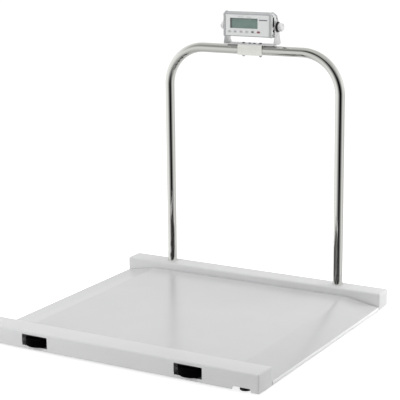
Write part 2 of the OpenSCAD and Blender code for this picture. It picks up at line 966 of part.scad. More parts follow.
module yoke_section() {
    outer = yoke_bend + yoke_t;
    difference() {
        union() {
            translate([-leg_out, saddle_top + outer])
                square([2 * leg_out, pivot_z + yoke_end_r - saddle_top]);
            translate([outer - leg_out, saddle_top])
                square([2 * (leg_out - outer), outer + over]);
            for (s = [-1, 1])
                translate([s * (leg_out - outer), saddle_top + outer])
                    circle(outer);
        }
        translate([-leg_in, yoke_top + yoke_bend])
            square([2 * leg_in, pivot_z + 2 * yoke_end_r - yoke_top]);
        translate([yoke_bend - leg_in, yoke_top])
            square([2 * (leg_in - yoke_bend), yoke_bend + over]);
        for (s = [-1, 1])
            translate([s * (leg_in - yoke_bend), yoke_top + yoke_bend])
                circle(yoke_bend);
    }
}

module yoke_bracket() {
    color(white_paint)
        difference() {
            intersection() {
                along_y(tube_y - yoke_w / 2, tube_y + yoke_w / 2)
                    yoke_section();
                translate([0, tube_y, 0])
                    along_x(-leg_out - over, leg_out + over) {
                        polygon([
                            [-yoke_w / 2, saddle_top - over], [yoke_w / 2, saddle_top - over],
                            [yoke_w / 2, yoke_top + yoke_bend], [yoke_end_r, yoke_top + pivot_h / 2],
                            [yoke_end_r, pivot_z], [-yoke_end_r, pivot_z],
                            [-yoke_end_r, yoke_top + pivot_h / 2], [-yoke_w / 2, yoke_top + yoke_bend]
                        ]);
                        translate([0, pivot_z])
                            circle(yoke_end_r);
                    }
            }
            translate([0, tube_y, pivot_z])
                rod_x(-leg_out - over, leg_out + over, stud_r + bolt_fit);
            saddle_holes();
        }
}

// A toothed washer, outside each leg
module toothed_washers() {
    color(dark_plastic)
        both_sides()
            translate([leg_out, tube_y, pivot_z])
                difference() {
                    rod_x(0, washer_t, washer_r);
                    rod_x(-over, washer_t + over, stud_r + bolt_fit);
                    for (i = [0:washer_teeth - 1])
                        rotate([i * 360 / washer_teeth, 0, 0])
                            translate([0, washer_r, 0])
                                rod_x(-over, washer_t + over, tooth_r);
                }
}

// A hand knob with its stud, which screws into the end cap
module knob() {
    color(pale_plastic)
        translate([0, tube_y, pivot_z]) {
            difference() {
                translate([knob_x, 0, 0])
                    rotate([0, 90, 0])
                        rotate_extrude()
                            polygon([
                                [0, 0], [knob_hub_r, 0], [knob_hub_r, knob_hub_l],
                                [knob_r, knob_hub_l + knob_flare], [knob_r, knob_l - knob_chamfer],
                                [knob_r - knob_chamfer, knob_l], [0, knob_l]
                            ]);
                for (i = [0:knob_flutes - 1])
                    rotate([i * 360 / knob_flutes, 0, 0])
                        translate([0, knob_r + flute_out, 0])
                            rod_x(knob_x + knob_hub_l, knob_x + knob_l + over, flute_r);
            }
            rod_x(case_w / 2 - insert_l + stud_short, knob_x + knob_hub_l, stud_r);
        }
}

// Indicator
module case_outline(d) {
    translate([face_y, case_z])
        polygon(rounded(inset(case_shape, d), max(case_corner - d, 0.6)));
}

module board_slots() {
    for (y = [board_y - slot_fit - rib_t, board_y + board_t + slot_fit])
        translate([y, case_z])
            square([rib_t, case_h]);
}

module case_section() {
    difference() {
        case_outline(0);
        case_outline(case_t);
    }
    intersection() {
        difference() {
            case_outline(case_t / 2);
            translate([0, case_z + case_t + rib_l])
                square([face_y + case_d, board_top() - case_z - case_t - 2 * rib_l + board_edge]);
        }
        board_slots();
    }
}

// Height of the upper edge of the board, under the sloping top of the case
function board_top() = case_z + face_h
    + (board_y - face_y) * (case_h - face_h) / roof_y - case_t - board_edge;

module front_openings(grow) {
    translate([display_x, 0, case_z + display_z])
        block(-display_w / 2 - grow, display_w / 2 + grow, face_y - 2 * over, face_y + case_t + over,
            -display_h / 2 - grow, display_h / 2 + grow);
    for (i = [0:5])
        key_hole(i);
}

module key_hole(i) {
    translate([first_key_x + i * key_pitch, 0, case_z + key_z])
        along_y(face_y - 2 * over, face_y + case_t + over)
            round_bar(key_w + 2 * face_gap, key_h + 2 * face_gap);
}

// A bar with full round ends, in X and Z
module round_bar(w, h) {
    translate([-(w - h) / 2, -h / 2])
        square([w - h, h]);
    for (s = [-1, 1])
        translate([s * (w - h) / 2, 0])
            circle(h / 2);
}

module gland_place() {
    translate([gland_x, gland_y, gland_z])
        rotate([-gland_angle, 0, 0])
            children();
}

module indicator_case() {
    color(aluminium)
        difference() {
            along_x(-case_x, case_x)
                case_section();
            front_openings(0);
            gland_place()
                rod_y(-2 * case_t, 2 * case_t, gland_body_r + run_fit);
        }
}

module face_film() {
    color(pale_plastic)
        difference() {
            block(film_edge - case_x, case_x - film_edge, face_y - film_t, face_y,
                case_z + film_margin, case_z + face_h - film_margin);
            front_openings(0);
        }
}

module cap_body() {
    along_x(case_x, case_w / 2)
        case_outline(-cap_proud);
    difference() {
        along_x(case_x - spigot_l, case_x + over)
            case_outline(case_t + slot_fit);
        along_x(case_x - spigot_l - over, case_x + over)
            case_outline(case_t + slot_fit + spigot_t);
        block(case_x - spigot_l - over, case_x, board_y - 2 * rib_t, board_y + board_t + 2 * rib_t,
            case_z, case_z + case_h);
    }
    translate([0, tube_y, pivot_z])
        rod_x(case_w / 2 - insert_l - insert_spare, case_x + over, boss_r);
}

module cap_cuts() {
    translate([0, tube_y, pivot_z])
        rod_x(case_w / 2 - insert_l - insert_spare - over, case_w / 2 + over, insert_r);
    for (p = cap_screw_places)
        translate([0, face_y + p.x, case_z + p.y])
            rod_x(case_x - spigot_l - over, case_w / 2 + over, cap_screw_r + bolt_fit);
}

module end_cap_left() {
    color(pale_plastic)
        mirror([1, 0, 0])
            difference() {
                cap_body();
                cap_cuts();
            }
}

module end_cap_right() {
    color(pale_plastic)
        difference() {
            cap_body();
            cap_cuts();
            translate([0, port_y, port_z])
                block(case_x - over, case_w / 2 + over, -port_w / 2 - slot_fit, port_w / 2 + slot_fit,
                    -port_h / 2 - slot_fit, port_h / 2 + slot_fit);
            translate([0, jack_y, jack_z])
                rod_x(case_x - over, case_w / 2 + over, jack_r + slot_fit);
        }
}

module cap_screws() {
    color(dark_plastic)
        both_sides()
            for (p = cap_screw_places)
                translate([case_w / 2, face_y + p.x, case_z + p.y]) {
                    rotate([0, 90, 0])
                        pan_head(cap_head_r, cap_head_h);
                    rod_x(-cap_screw_l, cap_head_h / 2, cap_screw_r);
                }
}

module display_lens() {
    color([0.45, 0.52, 0.5, 0.5])
        translate([display_x, face_y, case_z + display_z])
            block(slot_fit - display_w / 2, display_w / 2 - slot_fit, 0, case_t,
                slot_fit - display_h / 2, display_h / 2 - slot_fit);
}

module display_module() {
    color([0.42, 0.5, 0.46])
        translate([display_x, 0, case_z + display_z])
            difference() {
                block(-display_w / 2 - module_edge_x, display_w / 2 + module_edge_x, module_y, board_y,
                    -display_h / 2 - module_edge_z, display_h / 2 + module_edge_z);
                block(-display_w / 2, display_w / 2, module_y - over, module_y + module_rim,
                    -display_h / 2, display_h / 2);
            }
}

module main_board() {
    color([0.1, 0.35, 0.2]) {
        block(board_left, board_right, board_y, board_y + board_t,
            case_z + case_t + board_edge, board_top());
        for (i = [0:5])
            translate([first_key_x + i * key_pitch, 0, case_z + key_z])
                rod_y(board_y - switch_h, board_y + over, switch_r);
    }
}

module battery_pack() {
    color([0.2, 0.35, 0.6])
        for (i = [0:2])
            translate([battery_x, board_y + board_t + battery_r, battery_z + i * battery_pitch])
                rod_x(-battery_l / 2, battery_l / 2, battery_r);
}

module serial_port() {
    color(dark_plastic)
        translate([0, port_y, port_z])
            difference() {
                union() {
                    block(case_x - port_flange_l, case_x, -port_w / 2 - port_side_front,
                        port_w / 2 + port_side_back, -port_h / 2 - port_flange, port_h / 2 + port_flange);
                    block(case_x - over, case_w / 2 + socket_proud, -port_w / 2, port_w / 2,
                        -port_h / 2, port_h / 2);
                }
                block(case_x - port_recess, case_w / 2 + over,
                    port_wall - port_w / 2, port_w / 2 - port_wall,
                    port_wall - port_h / 2, port_h / 2 - port_wall);
            }
}

module power_jack() {
    color(dark_plastic)
        translate([0, jack_y, jack_z])
            difference() {
                rod_x(case_x - jack_l, case_w / 2 + socket_proud, jack_r);
                difference() {
                    rod_x(case_x - jack_recess, case_w / 2 + over, jack_r - jack_wall);
                    rod_x(case_x - jack_recess, case_w / 2, jack_pin_r);
                }
            }
}

module cable_gland() {
    color(dark_plastic)
        gland_place()
            difference() {
                union() {
                    rod_y(-gland_in, over, gland_body_r);
                    rotate([-90, 0, 0])
                        hex_z(over / 2, gland_hex_l, gland_hex_w);
                    rotate([-90, 0, 0])
                        rotate_extrude()
                            polygon([
                                [0, gland_hex_l - over], [gland_r, gland_hex_l - over],
                                [gland_r, gland_cap_l], [gland_r - gland_nose, gland_l], [0, gland_l]
                            ]);
                }
                rod_y(-gland_in - over, gland_l + over, gland_bore_r);
            }
}

module pivot_inserts() {
    color([0.75, 0.6, 0.3])
        both_sides()
            translate([0, tube_y, pivot_z])
                difference() {
                    rod_x(case_w / 2 - insert_l - insert_spare, case_w / 2, insert_r);
                    rod_x(case_w / 2 - insert_l - insert_spare - over, case_w / 2 + over, stud_r + run_fit);
                }
}

module key(i) {
    flange_y = face_y + case_t + face_gap;
    color(i < 4 ? [0.75, 0.76, 0.77] : i == 4 ? [0.45, 0.46, 0.48] : [0.75, 0.4, 0.42])
        translate([first_key_x + i * key_pitch, 0, case_z + key_z]) {
            along_y(face_y - key_proud, flange_y)
                round_bar(key_w, key_h);
            along_y(flange_y, flange_y + key_flange_t)
                round_bar(key_w + 2 * key_flange, key_h + 2 * key_flange);
            rod_y(flange_y, board_y - switch_h - key_travel - face_gap, key_stem_r);
        }
}

// Junction box, which hangs under the top of the rear rail and opens downwards
module junction_box_body() {
    color(dark_plastic)
        translate([0, rear_mid, 0])
            difference() {
                block(-box_l / 2, box_l / 2, -box_d / 2, box_d / 2, box_z, rail_under);
                block(box_t - box_l / 2, box_l / 2 - box_t, box_t - box_d / 2, box_d / 2 - box_t,
                    box_z - over, rail_under - box_t);
                for (y = [lead_front_y, lead_rear_y])
                    translate([0, y - rear_mid, lead_z])
                        rod_x(-box_l, box_l, lead_r + bolt_fit);
            }
}

module junction_box_lid() {
    color(dark_plastic)
        translate([0, rear_mid, 0]) {
            block(-box_l / 2, box_l / 2, -box_d / 2, box_d / 2, box_z - lid_t, box_z);
            block(box_t + slot_fit - box_l / 2, box_l / 2 - box_t - slot_fit, box_t + slot_fit - box_d / 2,
                box_d / 2 - box_t - slot_fit, box_z - over, box_z + lid_step);
        }
}

module junction_box_glands() {
    color(dark_plastic)
        both_sides()
            for (y = [lead_front_y, lead_rear_y])
                translate([0, y, lead_z])
                    difference() {
                        rod_x(box_l / 2, box_l / 2 + box_gland_l, box_gland_r);
                        rod_x(box_l / 2 - over, box_l / 2 + box_gland_l + over, lead_r + bolt_fit);
                    }
}

deck_plate();
deck_stiffeners();
ramp_ribs();
front_rail();
rear_rail();
at_cell(true, front_mid) load_cell();  // load_cell_front_left
at_cell(false, front_mid) load_cell();  // load_cell_front_right
at_cell(true, rear_mid) load_cell();  // load_cell_rear_left
at_cell(false, rear_mid) load_cell();  // load_cell_rear_right
load_cell_spacers();
load_cell_bolts();
load_cell_leads();
foot_lock_nuts();
at_cell(true, front_mid) foot_pad();  // foot_pad_front_left
at_cell(false, front_mid) foot_pad();  // foot_pad_front_right
at_cell(true, rear_mid) foot_pad();  // foot_pad_rear_left
at_cell(false, rear_mid) foot_pad();  // foot_pad_rear_right
at_cell(true, front_mid) foot_stem();  // foot_stem_front_left
at_cell(false, front_mid) foot_stem();  // foot_stem_front_right
at_cell(true, rear_mid) foot_stem();  // foot_stem_rear_left
at_cell(false, rear_mid) foot_stem();  // foot_stem_rear_right
wheel_brackets();
wheel_axles();
translate([-wheel_left_x, 0, 0]) wheel();  // wheel_left
translate([wheel_right_x, 0, 0]) wheel();  // wheel_right
translate([-wheel_left_x, 0, 0]) wheel_bush();  // wheel_bush_left
translate([wheel_right_x, 0, 0]) wheel_bush();  // wheel_bush_right
handrail();
post_sockets();
post_collars();
post_screws();
saddle_bracket();
saddle_bolts();
saddle_screws();
yoke_bracket();
toothed_washers();
mirror([1, 0, 0]) knob();  // knob_left
knob();  // knob_right
indicator_case();
face_film();
end_cap_left();
end_cap_right();
cap_screws();
display_lens();
display_module();
main_board();
battery_pack();
serial_port();
power_jack();
cable_gland();
pivot_inserts();
key(0);  // key_1
key(1);  // key_2
key(2);  // key_3
key(3);  // key_4
key(4);  // key_5
key(5);  // key_6
junction_box_body();
junction_box_lid();
junction_box_glands();
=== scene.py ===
# A low portable platform scale: a deck with two ramps between two rails, a bent tube handrail,
# and a tilting indicator on a yoke. Everything is in metres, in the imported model's own frame.
import math

import bmesh
import bpy
import numpy as np
from mathutils import Matrix, Vector


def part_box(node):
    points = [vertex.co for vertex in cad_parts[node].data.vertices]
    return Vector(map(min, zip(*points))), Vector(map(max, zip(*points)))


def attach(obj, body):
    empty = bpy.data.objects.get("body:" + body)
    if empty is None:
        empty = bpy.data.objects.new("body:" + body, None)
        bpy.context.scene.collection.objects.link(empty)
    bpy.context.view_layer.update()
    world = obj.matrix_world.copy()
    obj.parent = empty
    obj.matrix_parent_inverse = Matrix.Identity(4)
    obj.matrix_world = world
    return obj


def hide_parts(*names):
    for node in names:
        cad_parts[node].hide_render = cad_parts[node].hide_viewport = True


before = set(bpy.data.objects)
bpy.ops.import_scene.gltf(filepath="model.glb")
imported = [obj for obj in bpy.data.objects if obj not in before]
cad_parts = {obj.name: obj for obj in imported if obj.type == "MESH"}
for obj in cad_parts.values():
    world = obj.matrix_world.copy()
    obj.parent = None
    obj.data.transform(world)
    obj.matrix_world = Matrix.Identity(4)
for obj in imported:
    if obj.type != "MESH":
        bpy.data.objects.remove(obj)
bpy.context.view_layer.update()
mm = 0.001


# Camera
# It stands in front and to the right of the scale, a little above the handrail, and looks down at it
# through a long lens. The place and the three turns put the object's corners where the photograph has them.
camera_place = (2.0012, -3.3758, 1.3039)
camera_azimuth = 0.5256
camera_pitch = 0.2265
camera_roll = -0.0104
camera_lens = 118.73


def camera_turn(azimuth, pitch, roll):
    """The camera's axes as columns. It looks along (-sin a cos p, cos a cos p, -sin p), and its right
    and up axes are turned about that line by the roll."""
    look = np.array([-math.sin(azimuth), math.cos(azimuth), -math.tan(pitch)]) * math.cos(pitch)
    level = np.array([math.cos(azimuth), math.sin(azimuth), 0])
    upright = np.cross(level, look)
    right = math.cos(roll) * level + math.sin(roll) * upright
    return np.stack([right, np.cross(right, look), -look], 1)


camera_data = bpy.data.cameras.new("camera")
camera_data.lens = camera_lens
camera = bpy.data.objects.new("camera", camera_data)
bpy.context.scene.collection.objects.link(camera)
camera.matrix_world = Matrix.Translation(camera_place) @ Matrix(camera_turn(
    camera_azimuth, camera_pitch, camera_roll).tolist()).to_4x4()
bpy.context.scene.camera = camera
bpy.context.scene.view_settings.view_transform = "Standard"


# Studio
# A white floor in a white surround, lit by lamps from the front left, from above and, low, from the right.
# The surround's dark parts show only where something mirrors them. Each has its direction, the cosines of
# the angles at its rim and at its core, and how dark the core is.
def linear(text):
    """A colour from its sRGB hex digits: each channel c is c / 12.92 up to 0.04045 and
    ((c + 0.055) / 1.055) ** 2.4 above that."""
    c = np.array([int(text[i:i + 2], 16) / 255 for i in (0, 2, 4)])
    return (*np.where(c <= 0.04045, c / 12.92, ((c + 0.055) / 1.055) ** 2.4).tolist(), 1.0)


def add_node(tree, kind, inputs=(), **settings):
    """One node with its settings. An input is set to a value, or linked where a socket is given."""
    made = tree.nodes.new(kind)
    for name, value in settings.items():
        setattr(made, name, value)
    for name, value in dict(inputs).items():
        if isinstance(value, bpy.types.NodeSocket):
            tree.links.new(value, made.inputs[name])
        else:
            made.inputs[name].default_value = value
    return made


def calc(tree, operation, *values):
    """The result of one Math node on values or sockets."""
    return add_node(tree, "ShaderNodeMath", dict(enumerate(values)), operation=operation).outputs[0]


def remap(tree, value, start, end, low=0, high=1):
    """The value with the range from start to end stretched to that from low to high, and held inside."""
    return add_node(tree, "ShaderNodeMapRange", {
        "Value": value, "From Min": start, "From Max": end, "To Min": low, "To Max": high}).outputs[0]


def between(tree, value, low, high):
    """1 where the value lies between two limits, else 0."""
    return calc(tree, "COMPARE", value, (low + high) / 2, (high - low) / 2)


def inside_box(tree, place, low, high):
    """1 where a place lies between two corners, else 0."""
    axes = add_node(tree, "ShaderNodeSeparateXYZ", {0: place}).outputs
    x, y, z = [between(tree, axes[i], low[i], high[i]) for i in range(3)]
    return calc(tree, "MULTIPLY", calc(tree, "MULTIPLY", x, y), z)


def seen_directly(tree):
    """1 for a ray from the camera, off a glossy surface or through a clear one, and 0 for soft light."""
    path = add_node(tree, "ShaderNodeLightPath").outputs
    some = calc(tree, "ADD", path["Is Camera Ray"], path["Is Glossy Ray"])
    return calc(tree, "MINIMUM", calc(tree, "ADD", some, path["Is Transmission Ray"]), 1)


surround_light = 0.35
toward_camera = (math.sin(camera_azimuth), -math.cos(camera_azimuth), 0)
over_shoulder = (-0.489, -0.627, 0.606)
behind_and_below = (-0.484, 0.835, -0.261)
back_right = (0.757, 0.613, -0.225)
above_camera = (0.209, -0.871, 0.445)
above_shoulder = (-0.155, -0.775, 0.613)
dark_parts = ((toward_camera, 0.55, 0.97, 1), (toward_camera, 0.1, 0.5, 0.22),
              (over_shoulder, 0.85, 0.985, 0.5), (behind_and_below, 0.94, 0.99, 0.7),
              (back_right, 0.93, 0.985, 0.4),
              (above_camera, 0.93, 0.985, 0.85), (above_shoulder, 0.93, 0.985, 0.85),
              ((0, 0, 1), 0.3, 0.85, 0.36), ((0, 0, -1), 0.3, 0.9, 0.45))
world = bpy.data.worlds.new("white_surround")
world.use_nodes = True
surround = world.node_tree
surround.nodes.clear()
facing = add_node(surround, "ShaderNodeTexCoord").outputs["Generated"]
mirrored = add_node(surround, "ShaderNodeLightPath").outputs["Is Glossy Ray"]
strength = remap(surround, seen_directly(surround), 0, 1, surround_light)
for middle, rim, core, depth in dark_parts:
    nearness = add_node(surround, "ShaderNodeVectorMath", {0: facing, 1: middle},
                        operation="DOT_PRODUCT").outputs["Value"]
    darkness = remap(surround, nearness, rim, core, 0, depth)
    shown = calc(surround, "SUBTRACT", 1, calc(surround, "MULTIPLY", darkness, mirrored))
    strength = calc(surround, "MULTIPLY", strength, shown)
white = add_node(surround, "ShaderNodeBackground", {"Color": linear("FFFFFF"), "Strength": strength})
add_node(surround, "ShaderNodeOutputWorld", {"Surface": white.outputs[0]})
bpy.context.scene.world = world

floor_size = 40
floor_lift = 0.8
under_scale = ((-0.43, -0.395, -1), (0.464, 0.4, 1))
floor_mesh = bpy.data.meshes.new("floor")
floor_mesh.from_pydata([(-floor_size, -floor_size, 0), (floor_size, -floor_size, 0),
                        (floor_size, floor_size, 0), (-floor_size, floor_size, 0)], [], [(0, 1, 2, 3)])
floor = bpy.data.objects.new("floor", floor_mesh)
bpy.context.scene.collection.objects.link(floor)
floor.visible_glossy = False
floor_paper = bpy.data.materials.new("white_paper")
floor_paper.use_nodes = True
paper = floor_paper.node_tree
paper.nodes.clear()
matt = add_node(paper, "ShaderNodeBsdfDiffuse", {"Color": linear("E6E6E6")})
open_floor = calc(paper, "SUBTRACT", 1, inside_box(
    paper, add_node(paper, "ShaderNodeTexCoord").outputs["Object"], *under_scale))
lift = calc(paper, "MULTIPLY", calc(paper, "MULTIPLY", seen_directly(paper), floor_lift), open_floor)
glow = add_node(paper, "ShaderNodeEmission", {"Color": linear("FFFFFF"), "Strength": lift})
both = add_node(paper, "ShaderNodeAddShader", {0: matt.outputs[0], 1: glow.outputs[0]})
add_node(paper, "ShaderNodeOutputMaterial", {"Surface": both.outputs[0]})
floor_mesh.materials.append(floor_paper)


def lamp(name, place, aim, size, power):
    """A square soft lamp at a place, turned to face its aim. The lamp itself isn't seen."""
    data = bpy.data.lights.new(name, "AREA")
    data.size = size
    data.energy = power
    made = bpy.data.objects.new(name, data)
    bpy.context.scene.collection.objects.link(made)
    turn = (Vector(place) - Vector(aim)).to_track_quat("Z", "Y")
    made.matrix_world = Matrix.Translation(place) @ turn.to_matrix().to_4x4()
    made.visible_glossy = False
    made.visible_camera = False


lamp("front_left_lamp", (-2.5, -2.3, 1.1), (0, 0, 0.4), 1.2, 46)
lamp("overhead_lamp", (0.1, 0.2, 3.2), (0.1, 0.1, 0.1), 2.0, 40)
lamp("back_right_lamp", (1.5, 1.3, 0.5), (0.45, 0.3, 0.05), 0.8, 14)
lamp("front_right_lamp", (2.2, -2.4, 0.5), (0.3, -0.3, 0.1), 1.0, 4)


# Rails
# Each rail is 2.5 mm mild steel folded to a channel that is open below, with its ends folded and welded.
# The windows, foot notches and lead holes are cut before the white polyester powder is baked on.
rail_sheet = 2.5 * mm
rail_bend = 6 * mm
rail_corner = 4 * mm
edge_ease = 0.35 * mm
ease_angle = math.radians(40)
smooth_angle = math.radians(35)
weld_distance = 0.002 * mm
drift_patches = 9
peel_patches = 480
peel_depth = 0.1 * mm
front_low, front_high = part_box("front_rail")
rear_low, rear_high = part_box("rear_rail")


def start_material(name, **sockets):
    """A material, its tree, its Principled shader, whose constant sockets are named with _ for a space,
    and the place of a point in the object."""
    made = bpy.data.materials.new(name)
    made.use_nodes = True
    shader = made.node_tree.nodes["Principled BSDF"]
    for socket, value in sockets.items():
        shader.inputs[socket.replace("_", " ")].default_value = value
    place = add_node(made.node_tree, "ShaderNodeTexCoord").outputs["Object"]
    return made, made.node_tree, shader, place


def noise(tree, place, scale, detail):
    """Smooth noise about 0.5, with about that many patches to the metre."""
    return add_node(tree, "ShaderNodeTexNoise", {
        "Vector": place, "Scale": scale, "Detail": detail}).outputs["Fac"]


def mixed(tree, factor, first, second):
    """The colour that lies between two, at a factor from 0 to 1."""
    return add_node(tree, "ShaderNodeMix", {"Factor": factor, "A": first, "B": second},
                    data_type="RGBA").outputs["Result"]


def roughen(tree, shader, pattern, low, high):
    """Lets the roughness follow a pattern, from low where it is 0.3 to high where it is 0.7."""
    tree.links.new(remap(tree, pattern, 0.3, 0.7, low, high), shader.inputs["Roughness"])


def raise_relief(tree, shader, pattern, strength, depth):
    """Gives the surface a relief that follows a pattern, with its depth in metres."""
    relief = add_node(tree, "ShaderNodeBump", {"Strength": strength, "Distance": depth, "Height": pattern})
    tree.links.new(relief.outputs["Normal"], shader.inputs["Normal"])


def powder_coat(name, paint, shade, roughness, patches=()):
    """Baked polyester powder: it flows to a gloss with a faint orange peel about 2 mm across, and the
    colour drifts a little over a hand's width where the film is thinner. A patch has two corners and a
    colour of its own, which is painted light or shade, such as painted shade inside a hollow or a painted
    highlight along an edge."""
    made, tree, shader, place = start_material(name, Roughness=roughness, IOR=1.5)
    tone = mixed(tree, noise(tree, place, drift_patches, 3), linear(paint), linear(shade))
    for low, high, colour in patches:
        tone = mixed(tree, inside_box(tree, place, low, high), tone, linear(colour))
    tree.links.new(tone, shader.inputs["Base Color"])
    raise_relief(tree, shader, noise(tree, place, peel_patches, 2), 0.12, peel_depth)
    return made


# Inside each rail's channel the paint is near-black: painted shade, which darkens the windows and holes.
shade_patch_inset = 0.7 * rail_sheet
rail_paint_and_inner_shade = powder_coat("powder_coated_steel_and_inner_shade", "E6E6E6", "E0E0E1", 0.3, [
    ((low.x + shade_patch_inset, low.y + shade_patch_inset, -1),
     (high.x - shade_patch_inset, high.y - shade_patch_inset, high.z - shade_patch_inset), "0B0B0C")
    for low, high in ((front_low, front_high), (rear_low, rear_high))])


def skin(name, rings, material, caps=None, joined=False):
    """A closed skin over a stack of rings: ring k meets ring k + 1 in quads, and each end is closed by
    one face for each list of places in caps, or by one over the whole ring. joined closes the stack."""
    rings = np.asarray(rings, float)
    count, size, _ = rings.shape
    index = np.arange(count * size).reshape(count, size)
    steps = np.vstack([index, index[:1]]) if joined else index
    a, b = steps[:-1], steps[1:]
    faces = np.stack([a, np.roll(a, -1, 1), np.roll(b, -1, 1), b], -1).reshape(-1, 4).tolist()
    if not joined:
        faces += [ring[list(cap)].tolist() for ring in (index[0], index[-1])
                  for cap in caps or [range(size)]]
    mesh = bpy.data.meshes.new(name)
    mesh.from_pydata(rings.reshape(-1, 3).tolist(), [], faces)
    return settle(name, mesh, material)


def settle(name, mesh, material):
    """Merges doubled points, turns the faces outwards, shades the mesh smooth up to the smooth angle
    and gives it an object with its material."""
    work = bmesh.new()
    work.from_mesh(mesh)
    bmesh.ops.remove_doubles(work, verts=work.verts, dist=weld_distance)
    bmesh.ops.recalc_face_normals(work, faces=work.faces)
    work.to_mesh(mesh)
    work.free()
    mesh.shade_smooth()
    mesh.set_sharp_from_angle(angle=smooth_angle)
    mesh.materials.clear()
    mesh.materials.append(material)
    made = bpy.data.objects.new(name, mesh)
    bpy.context.scene.collection.objects.link(made)
    return made


def punch(piece, *cutters):
    """Cuts each cutter's solid out of the piece, as a press tool does, and removes the cutters."""
    for cutter in cutters:
        cut = piece.modifiers.new("cut", "BOOLEAN")
        cut.operation = "DIFFERENCE"
        cut.solver = "EXACT"
        cut.object = cutter
    bpy.context.view_layer.update()
    worked = bpy.data.meshes.new_from_object(piece.evaluated_get(bpy.context.evaluated_depsgraph_get()))
    name, material = piece.name, piece.data.materials[0]
    for done in (piece, *cutters):
        bpy.data.objects.remove(done)
    return settle(name, worked, material)


def ease(piece, width, segments=2):
    """Rounds the piece's sharp edges, as deburring and paint do."""
    rounded = piece.modifiers.new("eased_edges", "BEVEL")
    rounded.width = width
    rounded.segments = segments
    rounded.limit_method = "ANGLE"
    rounded.angle_limit = ease_angle
    rounded.harden_normals = True
    return piece


def arc(centre, radius, start, end, steps):
    """Points on a circle from one angle in degrees to another, both counted."""
    a = np.radians(np.linspace(start, end, steps + 1))
    return np.array(centre) + radius * np.stack([np.cos(a), np.sin(a)], 1)


def channel_outline(low, high, bend, steps=6):
    """An upside-down U in Y and Z: up the front wall, round two bends, and down the back wall."""
    (y0, z0), (y1, z1) = low, high
    return np.vstack([[(y0, z0)], arc((y0 + bend, z1 - bend), bend, 180, 90, steps),
                      arc((y1 - bend, z1 - bend), bend, 90, 0, steps), [(y1, z0)]])


def rounded_ends(radius, steps):
    """Stations from a piece's left tip to its right one, where a corner rounds both ends: the side, how
    far back from the tip, r (1 - sin t), and how far in, r (1 - cos t), for t from 90 degrees to 0 and on
    to 90."""
    quarter = np.radians(np.linspace(0, 90, steps))
    turn = np.concatenate([quarter[::-1], quarter])
    return zip(np.repeat([-1, 1], steps), radius * (1 - np.sin(turn)), radius * (1 - np.cos(turn)))


def rail_rings(low, high):
    """Rings of a rail from end to end. Each has the outer outline and then the inner one, backwards.
    Near an end the outer outline draws in on a quarter circle, which rounds the folded corner."""
    half = (high.x - low.x) / 2
    middle = (high.x + low.x) / 2
    inner = channel_outline((low.y + rail_sheet, low.z), (high.y - rail_sheet, high.z - rail_sheet),
                            rail_bend - rail_sheet)[::-1]
    rings = []
    for s, back, inset in rounded_ends(rail_corner, 6):
        outer = channel_outline((low.y + inset, low.z), (high.y - inset, high.z - inset), rail_bend - inset)
        x_outer = middle + s * (half - back)
        x_inner = middle + s * (half - rail_sheet) * (half - back) / half
        rings.append(np.vstack([np.insert(outer, 0, x_outer, 1), np.insert(inner, 0, x_inner, 1)]))
    return np.array(rings)


def box_cutter(low, high, taper=0):
    """A block between two corners, drawn in by the taper on both sides in X at its top."""
    (x0, y0, z0), (x1, y1, z1) = low, high
    rings = [[(x0 + d, y0, z), (x1 - d, y0, z), (x1 - d, y1, z), (x0 + d, y1, z)]
             for z, d in ((z0, 0), (z1, taper))]
    return skin("cutter", rings, rail_paint_and_inner_shade)


def rod(name, start, end, radius, material, sides=48):
    """A round bar between two points on a line along X, Y or Z."""
    start, end = np.array(start, float), np.array(end, float)
    axis = int(np.argmax(np.abs(end - start)))
    circle = np.insert(arc((0, 0), radius, 0, 360 - 360 / sides, sides - 1), axis, 0, 1)
    return skin(name, [start + circle, end + circle], material)


def middle_of(node):
    """The middle of a CAD node's box."""
    return [(low + high) / 2 for low, high in zip(*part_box(node))]


window_w, window_low, window_high = 90 * mm, 20 * mm, 54 * mm
notch_w, notch_h, notch_taper, notch_shift = 60 * mm, 10 * mm, 4 * mm, 8 * mm
lead_r, lead_hole_r, lead_inset = 2.2 * mm, 3.5 * mm, 8 * mm
lead_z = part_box("load_cell_leads")[1].z - lead_r
cell_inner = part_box("load_cell_front_left")[1].x
post_fit = 0.2 * mm
pinch_hole_r = 6 * mm
over = 1 * mm
channel_places = tuple(range(len(channel_outline((0, 0), (1, 1), 0.1))))
rail_caps = [channel_places, [len(channel_places) + i for i in channel_places],
             [0, len(channel_places) - 1, len(channel_places), 2 * len(channel_places) - 1]]


def foot_notches(end, wall, low):
    """The cutters of a rail's two foot notches: wedges through a wall, a little outside each foot."""
    half = notch_w / 2 + notch_taper * over / notch_h
    cuts = []
    for side in ("left", "right"):
        middle = middle_of("foot_pad_%s_%s" % (end, side))[0]
        middle += math.copysign(notch_shift, middle)
        cuts.append(box_cutter((middle - half, wall - over, low - over),
                               (middle + half, wall + rail_sheet + over, low + notch_h),
                               notch_taper * (1 + over / notch_h)))
    return cuts


def hole(place, axis, radius):
    """The cutter of a round hole through one sheet, along an axis from a place on its lower face."""
    ends = np.array([place, place], float)
    ends[:, axis] += (-over, rail_sheet + over)
    return rod("cutter", *ends, radius, rail_paint_and_inner_shade)


def lead_holes(end, wall):
    """The cutters of a rail's two lead holes, a little inside the ends of its load cells."""
    places = (cell_inner - lead_inset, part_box("load_cell_%s_right" % end)[0].x + lead_inset)
    return [hole((x, wall, lead_z), 1, lead_hole_r) for x in places]


